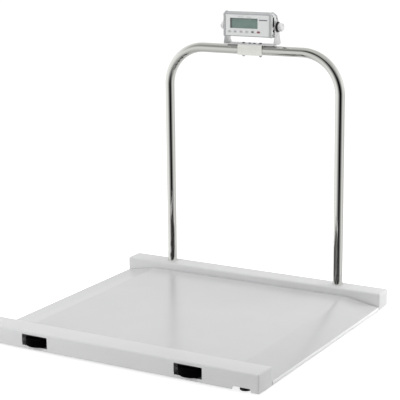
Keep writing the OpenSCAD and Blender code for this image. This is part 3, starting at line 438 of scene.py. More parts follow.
windows = []
for wheel in ("wheel_left", "wheel_right"):
    wheel_x = middle_of(wheel)[0]
    windows.append(box_cutter((wheel_x - window_w / 2, front_low.y - over, window_low),
                              (wheel_x + window_w / 2, front_low.y + rail_sheet + over, window_high)))
front_rail = skin("painted_front_rail", rail_rings(front_low, front_high), rail_paint_and_inner_shade, rail_caps)
front_rail = punch(front_rail, *foot_notches("front", front_low.y, front_low.z), *windows,
                   *lead_holes("front", front_high.y - rail_sheet))
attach(ease(front_rail, edge_ease), "platform")
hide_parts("front_rail")

tube_low, tube_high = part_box("handrail")
tube_r = (tube_high.y - tube_low.y) / 2
tube_y = middle_of("handrail")[1]
post_x = tube_high.x - tube_r
rear_wall = rear_high.y - rail_sheet
post_holes = []
for x in (-post_x, post_x):
    post_holes.append(hole((x, tube_y, rear_high.z - rail_sheet), 2, tube_r + post_fit))
    post_holes.append(hole((x, rear_wall, middle_of("post_screws")[2]), 1, pinch_hole_r))
rear_rail = skin("painted_rear_rail", rail_rings(rear_low, rear_high), rail_paint_and_inner_shade, rail_caps)
rear_rail = punch(rear_rail, *foot_notches("rear", rear_wall, rear_low.z), *lead_holes("rear", rear_low.y),
                  *post_holes)
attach(ease(rear_rail, edge_ease), "platform")
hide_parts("rear_rail")


# Deck
# One 3 mm sheet, rolled down at both sides into a ramp and folded at its outer edge. Its powder coat is
# slightly darker grey than the rails', and the outer faces of its two lips carry a near-white painted
# highlight of their folds. The posts show no deck in the photograph, so it isn't mirrored in them.
deck_sheet = 3 * mm
lip_top = 20 * mm
ramp_run = 110 * mm
ramp_bend = 120 * mm
lip_bend = 4 * mm
lip_highlight_band = 1.5 * mm
deck_low, deck_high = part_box("deck_plate")
ramp_angle = math.atan2(deck_high.z - lip_top, ramp_run)


def deck_curve(inset):
    """The right half of the deck's section, from its bend to the fold of its edge: an arc down to the
    ramp's angle, a straight ramp, and an arc on down to upright, all moved in by the inset."""
    bend_start = deck_high.x - ramp_run - ramp_bend * math.tan(ramp_angle / 2)
    lip_x = deck_high.x - lip_bend
    lip_z = lip_top + lip_bend * (math.tan(ramp_angle) - 1 / math.cos(ramp_angle))
    tilt = math.degrees(ramp_angle)
    return np.vstack([arc((bend_start, deck_high.z - ramp_bend), ramp_bend - inset, 90, 90 - tilt, 12),
                      arc((lip_x, lip_z), lip_bend - inset, 90 - tilt, 0, 6)])


def deck_section():
    """The closed section of the deck in X and Z, from the middle of its upper skin: out to the right
    edge, under the whole deck to the left edge, and back to the middle."""
    upper, lower = deck_curve(0), deck_curve(deck_sheet)
    foot = np.array([(deck_high.x, deck_low.z)])
    heel = np.array([(deck_high.x - deck_sheet, deck_low.z)])
    half = np.vstack([upper, foot, heel, lower[::-1]])
    return np.vstack([half, (half * (-1, 1))[::-1]])


# The near-white band over both lips' outer faces is a painted highlight of their folds.
deck_paint_and_lip_highlight = powder_coat("powder_coated_deck_and_lip_highlight", "DADADA", "D5D5D6", 0.22, [
    ((side * deck_high.x - lip_highlight_band, deck_low.y - over, deck_low.z - over),
     (side * deck_high.x + lip_highlight_band, deck_high.y + over, lip_top), "FCFCFC") for side in (-1, 1)])
section = deck_section()
deck_rings = [np.insert(section, 1, y, 1) for y in (deck_low.y, deck_high.y)]
deck = skin("painted_deck", deck_rings, deck_paint_and_lip_highlight)
deck.visible_glossy = False
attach(ease(deck, edge_ease), "platform")
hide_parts("deck_plate")


# Feet
# A levelling foot under each corner: a moulded rubber pad on a zinc plated M12 stem, which is screwed
# up through a load cell and held by a thin nut. The pad has a rounded rim and a step up to the stem.
def finish_of(material, *nodes):
    """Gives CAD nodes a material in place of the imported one."""
    for name in nodes:
        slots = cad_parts[name].data.materials
        for place in range(len(slots)):
            slots[place] = material


def turned(name, profile, centre, axis, material, sides=64):
    """A closed profile of (radius, height) points turned round an axis, 0, 1 or 2 for X, Y or Z,
    through the centre: point (r cos a, r sin a, h) in the axis's own frame."""
    profile = np.array(profile, float)
    a = np.linspace(0, 2 * math.pi, sides, endpoint=False)[:, None]
    flat = np.stack([profile[:, 0] * np.cos(a), profile[:, 0] * np.sin(a), profile[:, 1] + 0 * a], -1)
    return skin(name, np.roll(flat, axis - 2, -1) + np.array(centre), material, joined=True)


def moulded(name, paint, roughness, grain, depth):
    """A moulded plastic or rubber with the fine grain that its mould was given, at a size in metres."""
    made, tree, shader, place = start_material(name, Base_Color=linear(paint), Roughness=roughness,
                                               IOR=1.5)
    speck = noise(tree, place, 0.6 / grain, 2)
    roughen(tree, shader, speck, roughness - 0.06, roughness + 0.06)
    raise_relief(tree, shader, speck, 0.5, depth)
    return made


def plated(name, paint, shade, roughness):
    """A bright plated or turned metal, clouded in patches about a centimetre across."""
    made, tree, shader, place = start_material(name, Metallic=1.0)
    cloud = noise(tree, place, 110, 3)
    tree.links.new(mixed(tree, cloud, linear(paint), linear(shade)), shader.inputs["Base Color"])
    roughen(tree, shader, cloud, roughness, roughness + 0.15)
    return made


foot_rubber = moulded("moulded_foot_rubber", "2B2B2C", 0.45, 0.5 * mm, 0.05 * mm)
bright_zinc = plated("zinc_plated_steel", "C9CBCE", "8F9296", 0.25)
thread_pitch = 1.75 * mm
thread_depth = 0.9 * mm
thread_steps = 8


def thread_rings(radius, low, high, pitch, depth, sides=24):
    """Rings up a threaded rod. At angle a and height z the radius falls by depth times a triangle wave
    of z / pitch - a / 360 degrees, and it is drawn in over the last half turn at both ends."""
    z = np.arange(low, high + pitch / thread_steps / 2, pitch / thread_steps)
    z[-1] = high
    a = np.linspace(0, 2 * math.pi, sides, endpoint=False)
    phase = (z[:, None] / pitch - a / (2 * math.pi)) % 1
    wave = np.abs(2 * phase - 1)
    ends = np.clip(np.minimum(z - low, high - z) / (pitch / 2), 0, 1)[:, None]
    r = radius - depth * (1 - ends * wave)
    return np.stack([r * np.cos(a), r * np.sin(a), z[:, None] + 0 * r], -1)


for corner in ("front_left", "front_right", "rear_left", "rear_right"):
    pad_low, pad_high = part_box("foot_pad_" + corner)
    stem_low, stem_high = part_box("foot_stem_" + corner)
    middle = (*middle_of("foot_pad_" + corner)[:2], 0)
    pad_r = (pad_high.x - pad_low.x) / 2
    stem_r = (stem_high.x - stem_low.x) / 2
    pad_profile = np.vstack([
        [(0, 0.6 * mm), (pad_r - 6 * mm, 0.6 * mm), (pad_r - 5 * mm, 0)],
        arc((pad_r - 1.5 * mm, 1.5 * mm), 1.5 * mm, -90, 0, 4),
        arc((pad_r - 2 * mm, 3.5 * mm), 2 * mm, 0, 70, 5),
        [(pad_r - 5.5 * mm, pad_high.z - 1.2 * mm), (stem_r + 3.2 * mm, pad_high.z - 0.2 * mm),
         (stem_r + 2.8 * mm, pad_high.z), (0, pad_high.z)]])
    pad = turned("rubber_foot_" + corner, pad_profile, middle, 2, foot_rubber)
    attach(pad, "foot_" + corner)
    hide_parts("foot_pad_" + corner)
    thread = thread_rings(stem_r, pad_high.z - 0.5 * mm, stem_high.z, thread_pitch, thread_depth)
    stem = skin("threaded_stem_" + corner, thread + np.array(middle), bright_zinc)
    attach(stem, "foot_" + corner)
    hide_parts("foot_stem_" + corner)
finish_of(bright_zinc, "foot_lock_nuts")


# Load cells
# Four shear beam cells of milled aluminium under the rails, anodised clear, each on two steel bolts and
# a spacer, with a black PVC lead to the junction box. The channels and ribs under the deck are painted.
def milled_alloy(name, paint, pitch):
    """Milled and anodised aluminium: a satin metal with the cutter's fine lines across it."""
    made, tree, shader, place = start_material(name, Base_Color=linear(paint), Metallic=1.0,
                                               Roughness=0.38)
    lines = add_node(tree, "ShaderNodeTexWave", {"Vector": place, "Scale": 0.3 / pitch, "Distortion": 1.5},
                     bands_direction="X")
    raise_relief(tree, shader, lines.outputs["Fac"], 0.3, 0.02 * mm)
    return made


lead_jacket = moulded("extruded_pvc_jacket", "161617", 0.5, 0.8 * mm, 0.02 * mm)
finish_of(milled_alloy("anodised_aluminium", "C4C6C8", 0.8 * mm), "load_cell_front_left",
          "load_cell_front_right", "load_cell_rear_left", "load_cell_rear_right")
finish_of(bright_zinc, "load_cell_spacers", "load_cell_bolts")
finish_of(lead_jacket, "load_cell_leads")
finish_of(deck_paint_and_lip_highlight, "deck_stiffeners", "ramp_ribs")


# Wheels
# Two solid black rubber wheels lie flat in the front rail, each on a bush and an upright bolt in a bent
# bracket. The tread is slightly crowned, its edges are rounded, and both faces are dished.
wheel_gloss = 0.03
wheel_rubber = moulded("moulded_wheel_rubber", "050506", 0.8, 0.6 * mm, 0.04 * mm)
wheel_rubber.node_tree.nodes["Principled BSDF"].inputs["Specular IOR Level"].default_value = wheel_gloss
black_steel = powder_coat("black_coated_steel", "121213", "171718", 0.45)
acetal = moulded("machined_acetal", "DADBDB", 0.35, 0.4 * mm, 0.01 * mm)
for side in ("left", "right"):
    wheel_low, wheel_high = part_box("wheel_" + side)
    bush_low, bush_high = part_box("wheel_bush_" + side)
    middle = (*middle_of("wheel_" + side)[:2], wheel_low.z)
    wheel_r = (wheel_high.x - wheel_low.x) / 2
    wheel_w = wheel_high.z - wheel_low.z
    bush_r = (bush_high.x - bush_low.x) / 2
    face = [(bush_r, 0), (bush_r + 4.6 * mm, 0), (bush_r + 5.6 * mm, 1 * mm), (bush_r + 6.2 * mm, 3 * mm),
            (wheel_r - 13 * mm, 3 * mm), (wheel_r - 12 * mm, 2.4 * mm), (wheel_r - 11.4 * mm, 0.6 * mm),
            (wheel_r - 10 * mm, 0)]
    tread = np.vstack([arc((wheel_r - 4 * mm, 4 * mm), 4 * mm, -90, -8, 6),
                       [(wheel_r, wheel_w / 2)],
                       arc((wheel_r - 4 * mm, wheel_w - 4 * mm), 4 * mm, 8, 90, 6)])
    back = [(r, wheel_w - z) for r, z in face[::-1]]
    wheel = turned("rubber_wheel_" + side, np.vstack([face, tread, back]), middle, 2, wheel_rubber, 96)
    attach(wheel, "wheel_" + side)
    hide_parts("wheel_" + side)
finish_of(acetal, "wheel_bush_left", "wheel_bush_right")
finish_of(black_steel, "wheel_brackets")
finish_of(bright_zinc, "wheel_axles")


# Handrail
# One length of 31.8 mm steel tube with a 1.5 mm wall, bent twice on a mandrel, polished and chromium
# plated. It stands in two sockets under the rear rail, with a moulded collar where it passes the top.
tube_wall = 1.5 * mm
tube_bend = 132 * mm
bend_steps = 28
collar_round = 1.2 * mm
collar_fit = 0.1 * mm
bar_z = tube_high.z - tube_r


def handrail_line():
    """The centre line in X and Z, up the left post, round two quarter circles and down the right one."""
    left = arc((tube_bend - post_x, bar_z - tube_bend), tube_bend, 180, 90, bend_steps)
    right = arc((post_x - tube_bend, bar_z - tube_bend), tube_bend, 90, 0, bend_steps)
    rise = np.linspace(tube_low.z, bar_z - tube_bend, 12)[:-1]
    across = np.linspace(tube_bend - post_x, post_x - tube_bend, 10)[1:-1]
    return np.vstack([np.stack([0 * rise - post_x, rise], 1), left,
                      np.stack([across, 0 * across + bar_z], 1), right,
                      np.stack([0 * rise + post_x, rise[::-1]], 1)])


def tube_rings(line, y, radius, sides=64):
    """Circles square to a line in X and Z: each point is the line's, moved by radius times cos a along
    the line's normal and sin a along Y."""
    along = np.gradient(line, axis=0)
    along /= np.linalg.norm(along, axis=1)[:, None]
    normal = np.stack([-along[:, 1], along[:, 0]], 1)
    a = np.linspace(0, 2 * math.pi, sides, endpoint=False)[None, :, None]
    flat = line[:, None] + radius * np.cos(a) * normal[:, None]
    return np.insert(flat, 1, (y + radius * np.sin(a) + 0 * flat[..., :1])[..., 0], 2)


def plated_chrome(name):
    """Bright chromium over polished steel: nearly a mirror, whose softness drifts a little over some
    two centimetres, as polishing leaves it."""
    made, tree, shader, place = start_material(name, Base_Color=linear("E3E3DF"), Metallic=1.0,
                                               Roughness=0.06)
    roughen(tree, shader, noise(tree, place, 60, 4), 0.04, 0.1)
    return made


line = handrail_line()
handrail = skin("plated_handrail", np.vstack([tube_rings(line, tube_y, tube_r),
                                              tube_rings(line, tube_y, tube_r - tube_wall)[::-1]]),
                plated_chrome("chromium_plated_steel"), joined=True)
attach(handrail, "platform")
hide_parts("handrail")

white_nylon = moulded("moulded_white_nylon", "E2E2E1", 0.4, 0.4 * mm, 0.02 * mm)
collar_low, collar_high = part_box("post_collars")
collar_out = collar_high.x - post_x
collar_h = collar_high.z - collar_low.z
for side, x in (("left", -post_x), ("right", post_x)):
    profile = np.vstack([
        [(tube_r + collar_fit, 0), (collar_out, 0)],
        arc((collar_out - collar_round, collar_h - collar_round), collar_round, 0, 90, 4),
        [(tube_r + collar_fit, collar_h)]])
    collar = turned("moulded_collar_" + side, profile, (x, tube_y, collar_low.z), 2, white_nylon)
    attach(collar, "platform")
    if side == "right":
        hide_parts("post_collars")
finish_of(bright_zinc, "post_sockets", "post_screws")


# Saddle
# A 2 mm steel strip folded over the top bar and painted white, with its lower corners cut round. Two
# bolts go through it, the yoke and the tube, and two short screws between them stop it turning.
saddle_sheet = 2 * mm
saddle_fold = 2.6 * mm
saddle_corner = 4 * mm
saddle_low, saddle_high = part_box("saddle_bracket")


def saddle_rings():
    """Rings along X of a folded channel, outer outline and then inner. Its lower edge rises on a quarter
    circle at both ends, which cuts the four lower corners round."""
    rings = []
    for s, x_back, z_up in rounded_ends(saddle_corner, 7):
        low, high = (saddle_low.y, saddle_low.z + z_up), (saddle_high.y, saddle_high.z)
        outer = channel_outline(low, high, saddle_fold)
        inner = channel_outline((low[0] + saddle_sheet, low[1]),
                                (high[0] - saddle_sheet, high[1] - saddle_sheet),
                                saddle_fold - saddle_sheet)[::-1]
        rings.append(np.insert(np.vstack([outer, inner]), 0, s * (saddle_high.x - x_back), 1))
    return rings


saddle_paint = powder_coat("powder_coated_saddle", "FAFAF4", "F6F6F0", 0.3)
saddle = skin("painted_saddle", saddle_rings(), saddle_paint)
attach(ease(saddle, edge_ease), "platform")
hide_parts("saddle_bracket")


def merged(name, pieces):
    """One object from several: their meshes are put together as they lie."""
    work = bmesh.new()
    material = pieces[0].data.materials[0]
    for piece in pieces:
        work.from_mesh(piece.data)
        bpy.data.objects.remove(piece)
    mesh = bpy.data.meshes.new(name)
    work.to_mesh(mesh)
    work.free()
    return settle(name, mesh, material)


def hexagon(across, inset=0):
    """The six corners of a hexagon with that width across its flats."""
    return arc((0, 0), (across / 2 - inset) / math.cos(math.radians(30)), 0, 300, 5)


def hex_prism(name, across, low, high, centre, axis, material, chamfer=0.5 * mm):
    """A hexagonal nut or head with both ends chamfered, from low to high along an axis."""
    levels = ((low, chamfer), (low + chamfer, 0), (high - chamfer, 0), (high, chamfer))
    rings = [np.roll(np.insert(hexagon(across, inset), 2, at, 1), axis - 2, 1) for at, inset in levels]
    return skin(name, np.array(rings) + np.array(centre), material)


def pan_screw(radius, head_r, head_h, bottom, centre, axis, side, material):
    """A pan head with a round socket on a plain shank: the head is a flat disc with a round shoulder.
    The head stands out from the centre along the axis, towards side, and the shank goes to bottom."""
    socket, shoulder = 0.38 * head_r, 0.6 * head_h
    crown = arc((head_r - shoulder, head_h - shoulder), shoulder, 0, 90, 5)
    profile = np.vstack([[(0, bottom), (radius, bottom), (radius, 0), (head_r, 0)], crown,
                         [(socket, head_h), (socket, 0.45 * head_h), (0, 0.35 * head_h)]])
    return turned("screw", profile * (1, side), centre, axis, material, 32)


bolt_low, bolt_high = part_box("saddle_bolts")
yoke_low, yoke_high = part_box("yoke_bracket")
yoke_sheet = 2.5 * mm
yoke_top = saddle_high.z + yoke_sheet
bolt_r, bolt_head_r = 3 * mm, 6 * mm
nut_across, nut_h = 10 * mm, 5 * mm
nut_high = bar_z - tube_r
bolt_x = bolt_high.x - bolt_head_r
bolts = []
for x in (-bolt_x, bolt_x):
    bolts.append(pan_screw(bolt_r, bolt_head_r, bolt_high.z - yoke_top, bolt_low.z - yoke_top,
                           (x, tube_y, yoke_top), 2, 1, bright_zinc))
    bolts.append(hex_prism("nut", nut_across, nut_high - nut_h, nut_high, (x, tube_y, 0), 2, bright_zinc))
saddle_bolts = merged("plated_saddle_bolts", bolts)
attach(saddle_bolts, "platform")
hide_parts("saddle_bolts")

screw_low, screw_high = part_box("saddle_screws")
screw_r, screw_head_r = 2.5 * mm, 4.75 * mm
screw_x = screw_high.x - screw_head_r
saddle_screws = merged("plated_saddle_screws", [
    pan_screw(screw_r, screw_head_r, screw_high.z - yoke_top, screw_low.z - yoke_top,
              (x, tube_y, yoke_top), 2, 1, bright_zinc) for x in (-screw_x, screw_x)])
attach(saddle_screws, "platform")
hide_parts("saddle_screws")


# Yoke
# A 2.5 mm steel strip folded up at both ends and painted white. Its legs narrow upwards and end round
# at the tilt axis. A toothed nylon washer lies outside each leg, under the knob.
yoke_fold = 3 * mm
yoke_end_r = 17 * mm
yoke_round = 0.5 * mm
stud_r = 4 * mm
stud_fit = 0.2 * mm
pivot_z = yoke_high.z - yoke_end_r


def yoke_line():
    """Stations along the middle of the sheet, from the left leg's tip, down it, across and up the right
    one: place in X and Z, direction of the sheet's normal, and half width. The tip is a half circle."""
    leg = yoke_high.x - yoke_sheet / 2
    mid_fold = yoke_fold + yoke_sheet / 2
    base_z = yoke_top - yoke_sheet / 2
    base_half = (yoke_high.y - yoke_low.y) / 2
    tip = np.radians(np.linspace(4, 90, 12))
    waist = yoke_top + (pivot_z - yoke_top) / 2
    rows = [(leg, pivot_z + yoke_end_r * math.cos(t), 1, 0, yoke_end_r * math.sin(t)) for t in tip]
    rows += [(leg, waist, 1, 0, yoke_end_r), (leg, yoke_top + yoke_fold, 1, 0, base_half)]
    for t in np.radians(np.linspace(0, 90, 8))[1:]:
        rows.append((leg - mid_fold * (1 - math.cos(t)), base_z + mid_fold * (1 - math.sin(t)),
                     math.cos(t), -math.sin(t), base_half))
    right = np.array(rows)
    left = right[::-1] * (-1, 1, -1, 1, 1)
    return np.vstack([right, left])


def sheet_strip(stations, thickness, y, round_edge):
    """Rings of a strip of sheet: a rectangle with rounded corners, as wide as the station says along Y
    and one sheet thick along its normal."""
    corner = arc((0, 0), round_edge, 0, 90, 3)
    rings = []
    for x, z, nx, nz, half in stations:
        a, b = thickness / 2 - round_edge, max(half - round_edge, 0.05 * mm)
        quarters = [corner + (a, b), (corner * (-1, 1))[::-1] + (-a, b), corner * (-1, -1) + (-a, -b),
                    (corner * (1, -1))[::-1] + (a, -b)]
        across = np.vstack(quarters)
        rings.append(np.stack([x + across[:, 0] * nx, y + across[:, 1], z + across[:, 0] * nz], 1))
    return rings


yoke_y = middle_of("yoke_bracket")[1]
yoke = skin("painted_yoke", sheet_strip(yoke_line(), yoke_sheet, yoke_y, yoke_round), rail_paint_and_inner_shade)
yoke = punch(yoke, *[rod("cutter", (side * (yoke_high.x - 2 * yoke_sheet), yoke_y, pivot_z),
                         (side * (yoke_high.x + over), yoke_y, pivot_z), stud_r + stud_fit, rail_paint_and_inner_shade)
                     for side in (-1, 1)])
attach(yoke, "platform")
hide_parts("yoke_bracket")

black_nylon = moulded("moulded_black_nylon", "1A1A1B", 0.5, 0.4 * mm, 0.02 * mm)
washer_low, washer_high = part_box("toothed_washers")
washer_r = (washer_high.z - washer_low.z) / 2
washer_t = washer_high.x - yoke_high.x
washer_teeth = 24
tooth_depth = 1 * mm
washer_ease = 0.4 * mm


def scalloped(levels, count, depth, steps):
    """Rings round Z at levels of (height, radius, share). Between its teeth or grips the radius falls by
    the level's share of the depth times ((1 + cos(count a)) / 2) ** 2 at angle a."""
    a = np.linspace(0, 2 * math.pi, count * steps, endpoint=False)
    scoop = depth * ((1 + np.cos(count * a)) / 2) ** 2
    return np.array([np.stack([(r - s * scoop) * np.cos(a), (r - s * scoop) * np.sin(a), 0 * a + z], 1)
                     for z, r, s in levels])


def on_tilt_axis(rings, side, start):
    """Rings round Z, turned to lie round the tilt axis, outwards from a start on one side."""
    return np.roll(rings, 1, 2) * (side, 1, 1) + (side * start, yoke_y, pivot_z)


washer_bore = stud_r + 0.6 * mm
washer_levels = [(0.3 * mm, washer_r - washer_ease, 1), (0.7 * mm, washer_r, 1),
                 (washer_t - washer_ease, washer_r, 1), (washer_t, washer_r - washer_ease, 1),
                 (washer_t, washer_bore, 0), (0, washer_bore, 0)]
washer_rings = scalloped(washer_levels, washer_teeth, tooth_depth, 8)
washers = merged("toothed_nylon_washers", [
    skin("washer", on_tilt_axis(washer_rings, side, yoke_high.x), black_nylon, joined=True)
    for side in (-1, 1)])
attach(washers, "platform")
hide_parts("toothed_washers")


# Knobs
# A pale moulded hand knob on each end of the tilt axis, with twelve scooped grips and a face that is sunk
# within its rim. Its stud goes through washer and leg and screws into the brass insert of the end cap.
knob_grips = 12
grip_depth = 1.4 * mm
knob_round = 2.4 * mm
stud_pitch, stud_depth = 1.25 * mm, 0.6 * mm
pale_plastic = moulded("moulded_pale_abs", "F2F2F2", 0.38, 0.35 * mm, 0.015 * mm)


def knob_levels(length, radius):
    """Levels of a knob outwards: hub, flare, scooped grips, rounded rim, and a face sunk within it."""
    levels = [(0, 8.4 * mm, 0), (0.5 * mm, 9 * mm, 0), (2 * mm, 9.2 * mm, 0),
              (2.6 * mm, radius - grip_depth, 0.3), (3.4 * mm, radius - 0.3 * mm, 1), (5 * mm, radius, 1)]
    levels += [(length - knob_round * (1 - math.sin(t)), radius - knob_round * (1 - math.cos(t)),
                math.cos(t) ** 2) for t in np.radians(np.linspace(0, 90, 6))]
    return levels + [(length - 0.1 * mm, radius - 4 * mm, 0), (length - 0.9 * mm, radius - 4.6 * mm, 0),
                     (length - 0.5 * mm, 4 * mm, 0), (length - 0.4 * mm, 0, 0)]


knob_l = 14.5 * mm
for side, sign in (("left", -1), ("right", 1)):
    knob_low, knob_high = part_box("knob_" + side)
    reach = sorted((abs(knob_low.x), abs(knob_high.x)))
    knob_back = reach[1] - knob_l
    grip = scalloped(knob_levels(knob_l, (knob_high.z - knob_low.z) / 2), knob_grips, grip_depth, 12)
    stud = thread_rings(stud_r, reach[0], knob_back + 1.5 * mm, stud_pitch, stud_depth)
    knob = merged("moulded_knob_" + side, [
        skin("grip", on_tilt_axis(grip, sign, knob_back), pale_plastic),
        skin("stud", on_tilt_axis(stud, sign, 0), pale_plastic)])
    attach(knob, "knob_" + side)
    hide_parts("knob_" + side)


# Indicator case
# One length of extruded aluminium with a closed outline of eight sides and a 2 mm wall, blasted and
# anodised grey. The display window, the six key slots and the gland hole are milled in it.
case_wall = 2 * mm
case_corner = 3 * mm
case_low, case_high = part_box("indicator_case")
case_corners = np.array([(0, 0), (14, 0), (31, 1), (46, 13), (54, 44), (42, 67.5), (15, 80), (0, 73.5)]) * mm
case_origin = np.array([case_low.y, case_low.z])


def rounded_outline(corners, radius, inset=0, steps=5):
    """A convex outline, anticlockwise, with its sides moved in and its corners turned into arcs. Each
    arc's centre is the corner moved in by inset + radius from both of its sides."""
    along = np.roll(corners, -1, 0) - corners
    along /= np.linalg.norm(along, axis=1)[:, None]
    inward = np.stack([-along[:, 1], along[:, 0]], 1)
    before = np.roll(inward, 1, 0)
    facing = (before * inward).sum(1)
    centre = corners + (inset + radius) * (before + inward) / (1 + facing)[:, None]
    start = np.arctan2(-before[:, 1], -before[:, 0])
    a = start[:, None] + np.arccos(np.clip(facing, -1, 1))[:, None] * np.linspace(0, 1, steps + 1)
    return (centre[:, None] + radius * np.stack([np.cos(a), np.sin(a)], -1)).reshape(-1, 2)


def case_ring(x, inset):
    """The case's outline in Y and Z at one place in X."""
    outline = rounded_outline(case_corners, max(case_corner - inset, 0.8 * mm), inset)
    return np.insert(outline + case_origin, 0, x, 1)


def sleeve(name, start, end, outer, inner, material):
    """A tube with the case's outline between two places in X, from one inset to another."""
    return skin(name, [case_ring(start, outer), case_ring(end, outer), case_ring(end, inner),
                       case_ring(start, inner)], material, joined=True)


def capsule(half, radius, steps):
    """The outline of a strip with round ends, from half its straight length and its radius."""
    return np.vstack([arc((half, 0), radius, -90, 90, steps), arc((-half, 0), radius, 90, 270, steps)])


def anodised(name, paint, roughness):
    """Blasted and anodised aluminium: a satin grey skin with a grain of two thirds of a millimetre,
    drawn out along the extrusion. It is nearly as matt as paint, so only a third of it is metal."""
    made, tree, shader, place = start_material(name, Base_Color=linear(paint), Metallic=0.35,
                                               Roughness=roughness)
    drawn = add_node(tree, "ShaderNodeMapping", {"Vector": place, "Scale": (120, 1500, 1500)})
    grain = noise(tree, drawn.outputs[0], 1, 2)
    roughen(tree, shader, grain, roughness - 0.05, roughness + 0.08)
    raise_relief(tree, shader, grain, 0.25, 0.02 * mm)
    return made


case_grey = anodised("anodised_extrusion", "BCBEBF", 0.45)
lens_low, lens_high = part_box("display_lens")
key_count = 6
key_w, key_h = 13 * mm, 8 * mm
key_fit = 0.2 * mm
window_fit = 0.2 * mm
face_y = case_low.y
film_sheet = 0.5 * mm


def face_cuts():
    """The cutters of the display window and of the key slots, through the film and the front wall."""
    deep = face_y + case_wall + over
    cuts = [box_cutter((lens_low.x - window_fit, face_y - over, lens_low.z - window_fit),
                       (lens_high.x + window_fit, deep, lens_high.z + window_fit))]
    for i in range(key_count):
        slot = capsule((key_w - key_h) / 2, key_h / 2 + key_fit, 10) + middle_of("key_%d" % (i + 1))[::2]
        cuts.append(skin("cutter", [np.insert(slot, 1, y, 1) for y in (face_y - over, deep)], case_grey))
    return cuts


gland_r = 6 * mm
gland_fit = 0.1 * mm
case_ease = 0.25 * mm
gland_x = -48 * mm
gland_foot = (case_corners[3] + case_corners[4]) / 2 + case_origin
gland_turn = math.atan2(*(case_corners[4] - case_corners[3]))
gland_place = (Matrix.Translation((gland_x, *gland_foot))
               @ Matrix.Rotation(-math.pi / 2 - gland_turn, 4, "X"))


def set_in(piece, place):
    """Moves a piece's mesh to its place, and leaves the object at the origin."""
    piece.data.transform(place)
    return piece


gland_cutter = set_in(rod("cutter", (0, 0, -3 * case_wall), (0, 0, 3 * case_wall), gland_r + gland_fit,
                          case_grey), gland_place)
case = sleeve("anodised_case", case_low.x, case_high.x, 0, case_wall, case_grey)
case = punch(case, *face_cuts(), gland_cutter)
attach(ease(case, case_ease), "indicator")
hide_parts("indicator_case")


# End caps
# Two moulded ABS caps close the ends of the case, each on four black screws. The outer face is sunk by
# 0.4 mm inside a rounded rim and has a white printed label in front. The right cap has the two sockets.
cap_rim = 1.5 * mm
cap_sunk = 0.4 * mm
cap_fit = 0.1 * mm
cap_ease = 0.1 * mm
boss_r = 8.5 * mm
insert_r = 6 * mm
insert_fit = 0.05 * mm
spigot_l, spigot_fit = 5 * mm, 0.2 * mm
cap_low, cap_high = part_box("end_cap_right")
port_low, port_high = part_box("serial_port")
jack_low, jack_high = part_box("power_jack")
jack_r = (jack_high.y - jack_low.y) / 2
jack_middle = middle_of("power_jack")[1:]
port_w, port_h, port_in = 9 * mm, 31 * mm, 15 * mm
port_middle = (face_y + port_in, middle_of("serial_port")[2])
cap_grey = moulded("moulded_grey_abs", "C2C4C5", 0.42, 0.35 * mm, 0.02 * mm)
label_white = moulded("printed_polyester_label", "F0F1F1", 0.3, 1.2 * mm, 0.004 * mm)
screw_places = np.array([(8, 7), (8, 69), (36, 9.5), (37, 59)]) * mm
label_corners = np.array([(2, 2.5), (30, 3), (39, 14), (41, 44), (35, 62), (15, 77), (2, 71.5)]) * mm
label_corner = 2 * mm
label_gap = 0.5 * mm
label_hole_r = 2.2 * mm
label_sunk = 0.1 * mm


def cap_cutters(side, fit):
    """The holes through a cap's plate: the insert's on both sides, and the sockets' on the right one."""
    ends = np.array([case_high.x - over, cap_high.x + over])
    cuts = [rod("cutter", (side * ends[0], yoke_y, pivot_z), (side * ends[1], yoke_y, pivot_z),
                insert_r + fit, cap_grey)]
    if side > 0:
        cuts.append(rod("cutter", (ends[0], *jack_middle), (ends[1], *jack_middle), jack_r + fit, cap_grey))
        half_w, half_h = port_w / 2 + fit, port_h / 2 + fit
        cuts.append(box_cutter((ends[0], port_middle[0] - half_w, port_middle[1] - half_h),
                               (ends[1], port_middle[0] + half_w, port_middle[1] + half_h)))
    return cuts


def cap_plate(side):
    """Rings of a cap's plate: its back, a straight edge, a quarter circle to the rim, and the sunk face."""
    turn = np.radians(np.linspace(0, 90, 6))
    out = cap_high.x
    levels = [(case_high.x, -cap_rim + 0.3 * mm), (case_high.x + 0.3 * mm, -cap_rim)]
    levels += [(out - cap_rim * (1 - math.sin(t)), -cap_rim * math.cos(t)) for t in turn]
    levels += [(out, 0.7 * mm), (out - cap_sunk, 0.9 * mm)]
    return skin("plate", [case_ring(side * x, inset) for x, inset in levels], cap_grey)


for name, side in (("left", -1), ("right", 1)):
    inner = case_high.x - spigot_l
    boss_l = case_high.x - cap_low.x
    boss = turned("boss", [(insert_r + insert_fit, 0), (boss_r, 0), (boss_r, boss_l),
                           (insert_r + insert_fit, boss_l)],
                  (min(side * cap_low.x, side * case_high.x), yoke_y, pivot_z), 0, cap_grey, 32)
    cap = merged("moulded_end_cap_" + name, [
        ease(punch(cap_plate(side), *cap_cutters(side, cap_fit)), cap_ease), boss,
        sleeve("spigot", *sorted((side * inner, side * case_high.x)), case_wall + spigot_fit,
               2 * case_wall, cap_grey)])
    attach(cap, "indicator")
    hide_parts("end_cap_" + name)
    label_cuts = cap_cutters(side, label_gap)
    label_cuts += [rod("cutter", (side * inner, *p), (side * (cap_high.x + over), *p), label_hole_r,
                       cap_grey) for p in case_origin + screw_places]
    label_outline = rounded_outline(label_corners, label_corner) + case_origin
    label = punch(skin("label", [np.insert(label_outline, 0, side * (cap_high.x - depth), 1)
                                 for depth in (cap_sunk, label_sunk)], label_white), *label_cuts)
    label.name = "printed_side_label_" + name
    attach(label, "indicator")

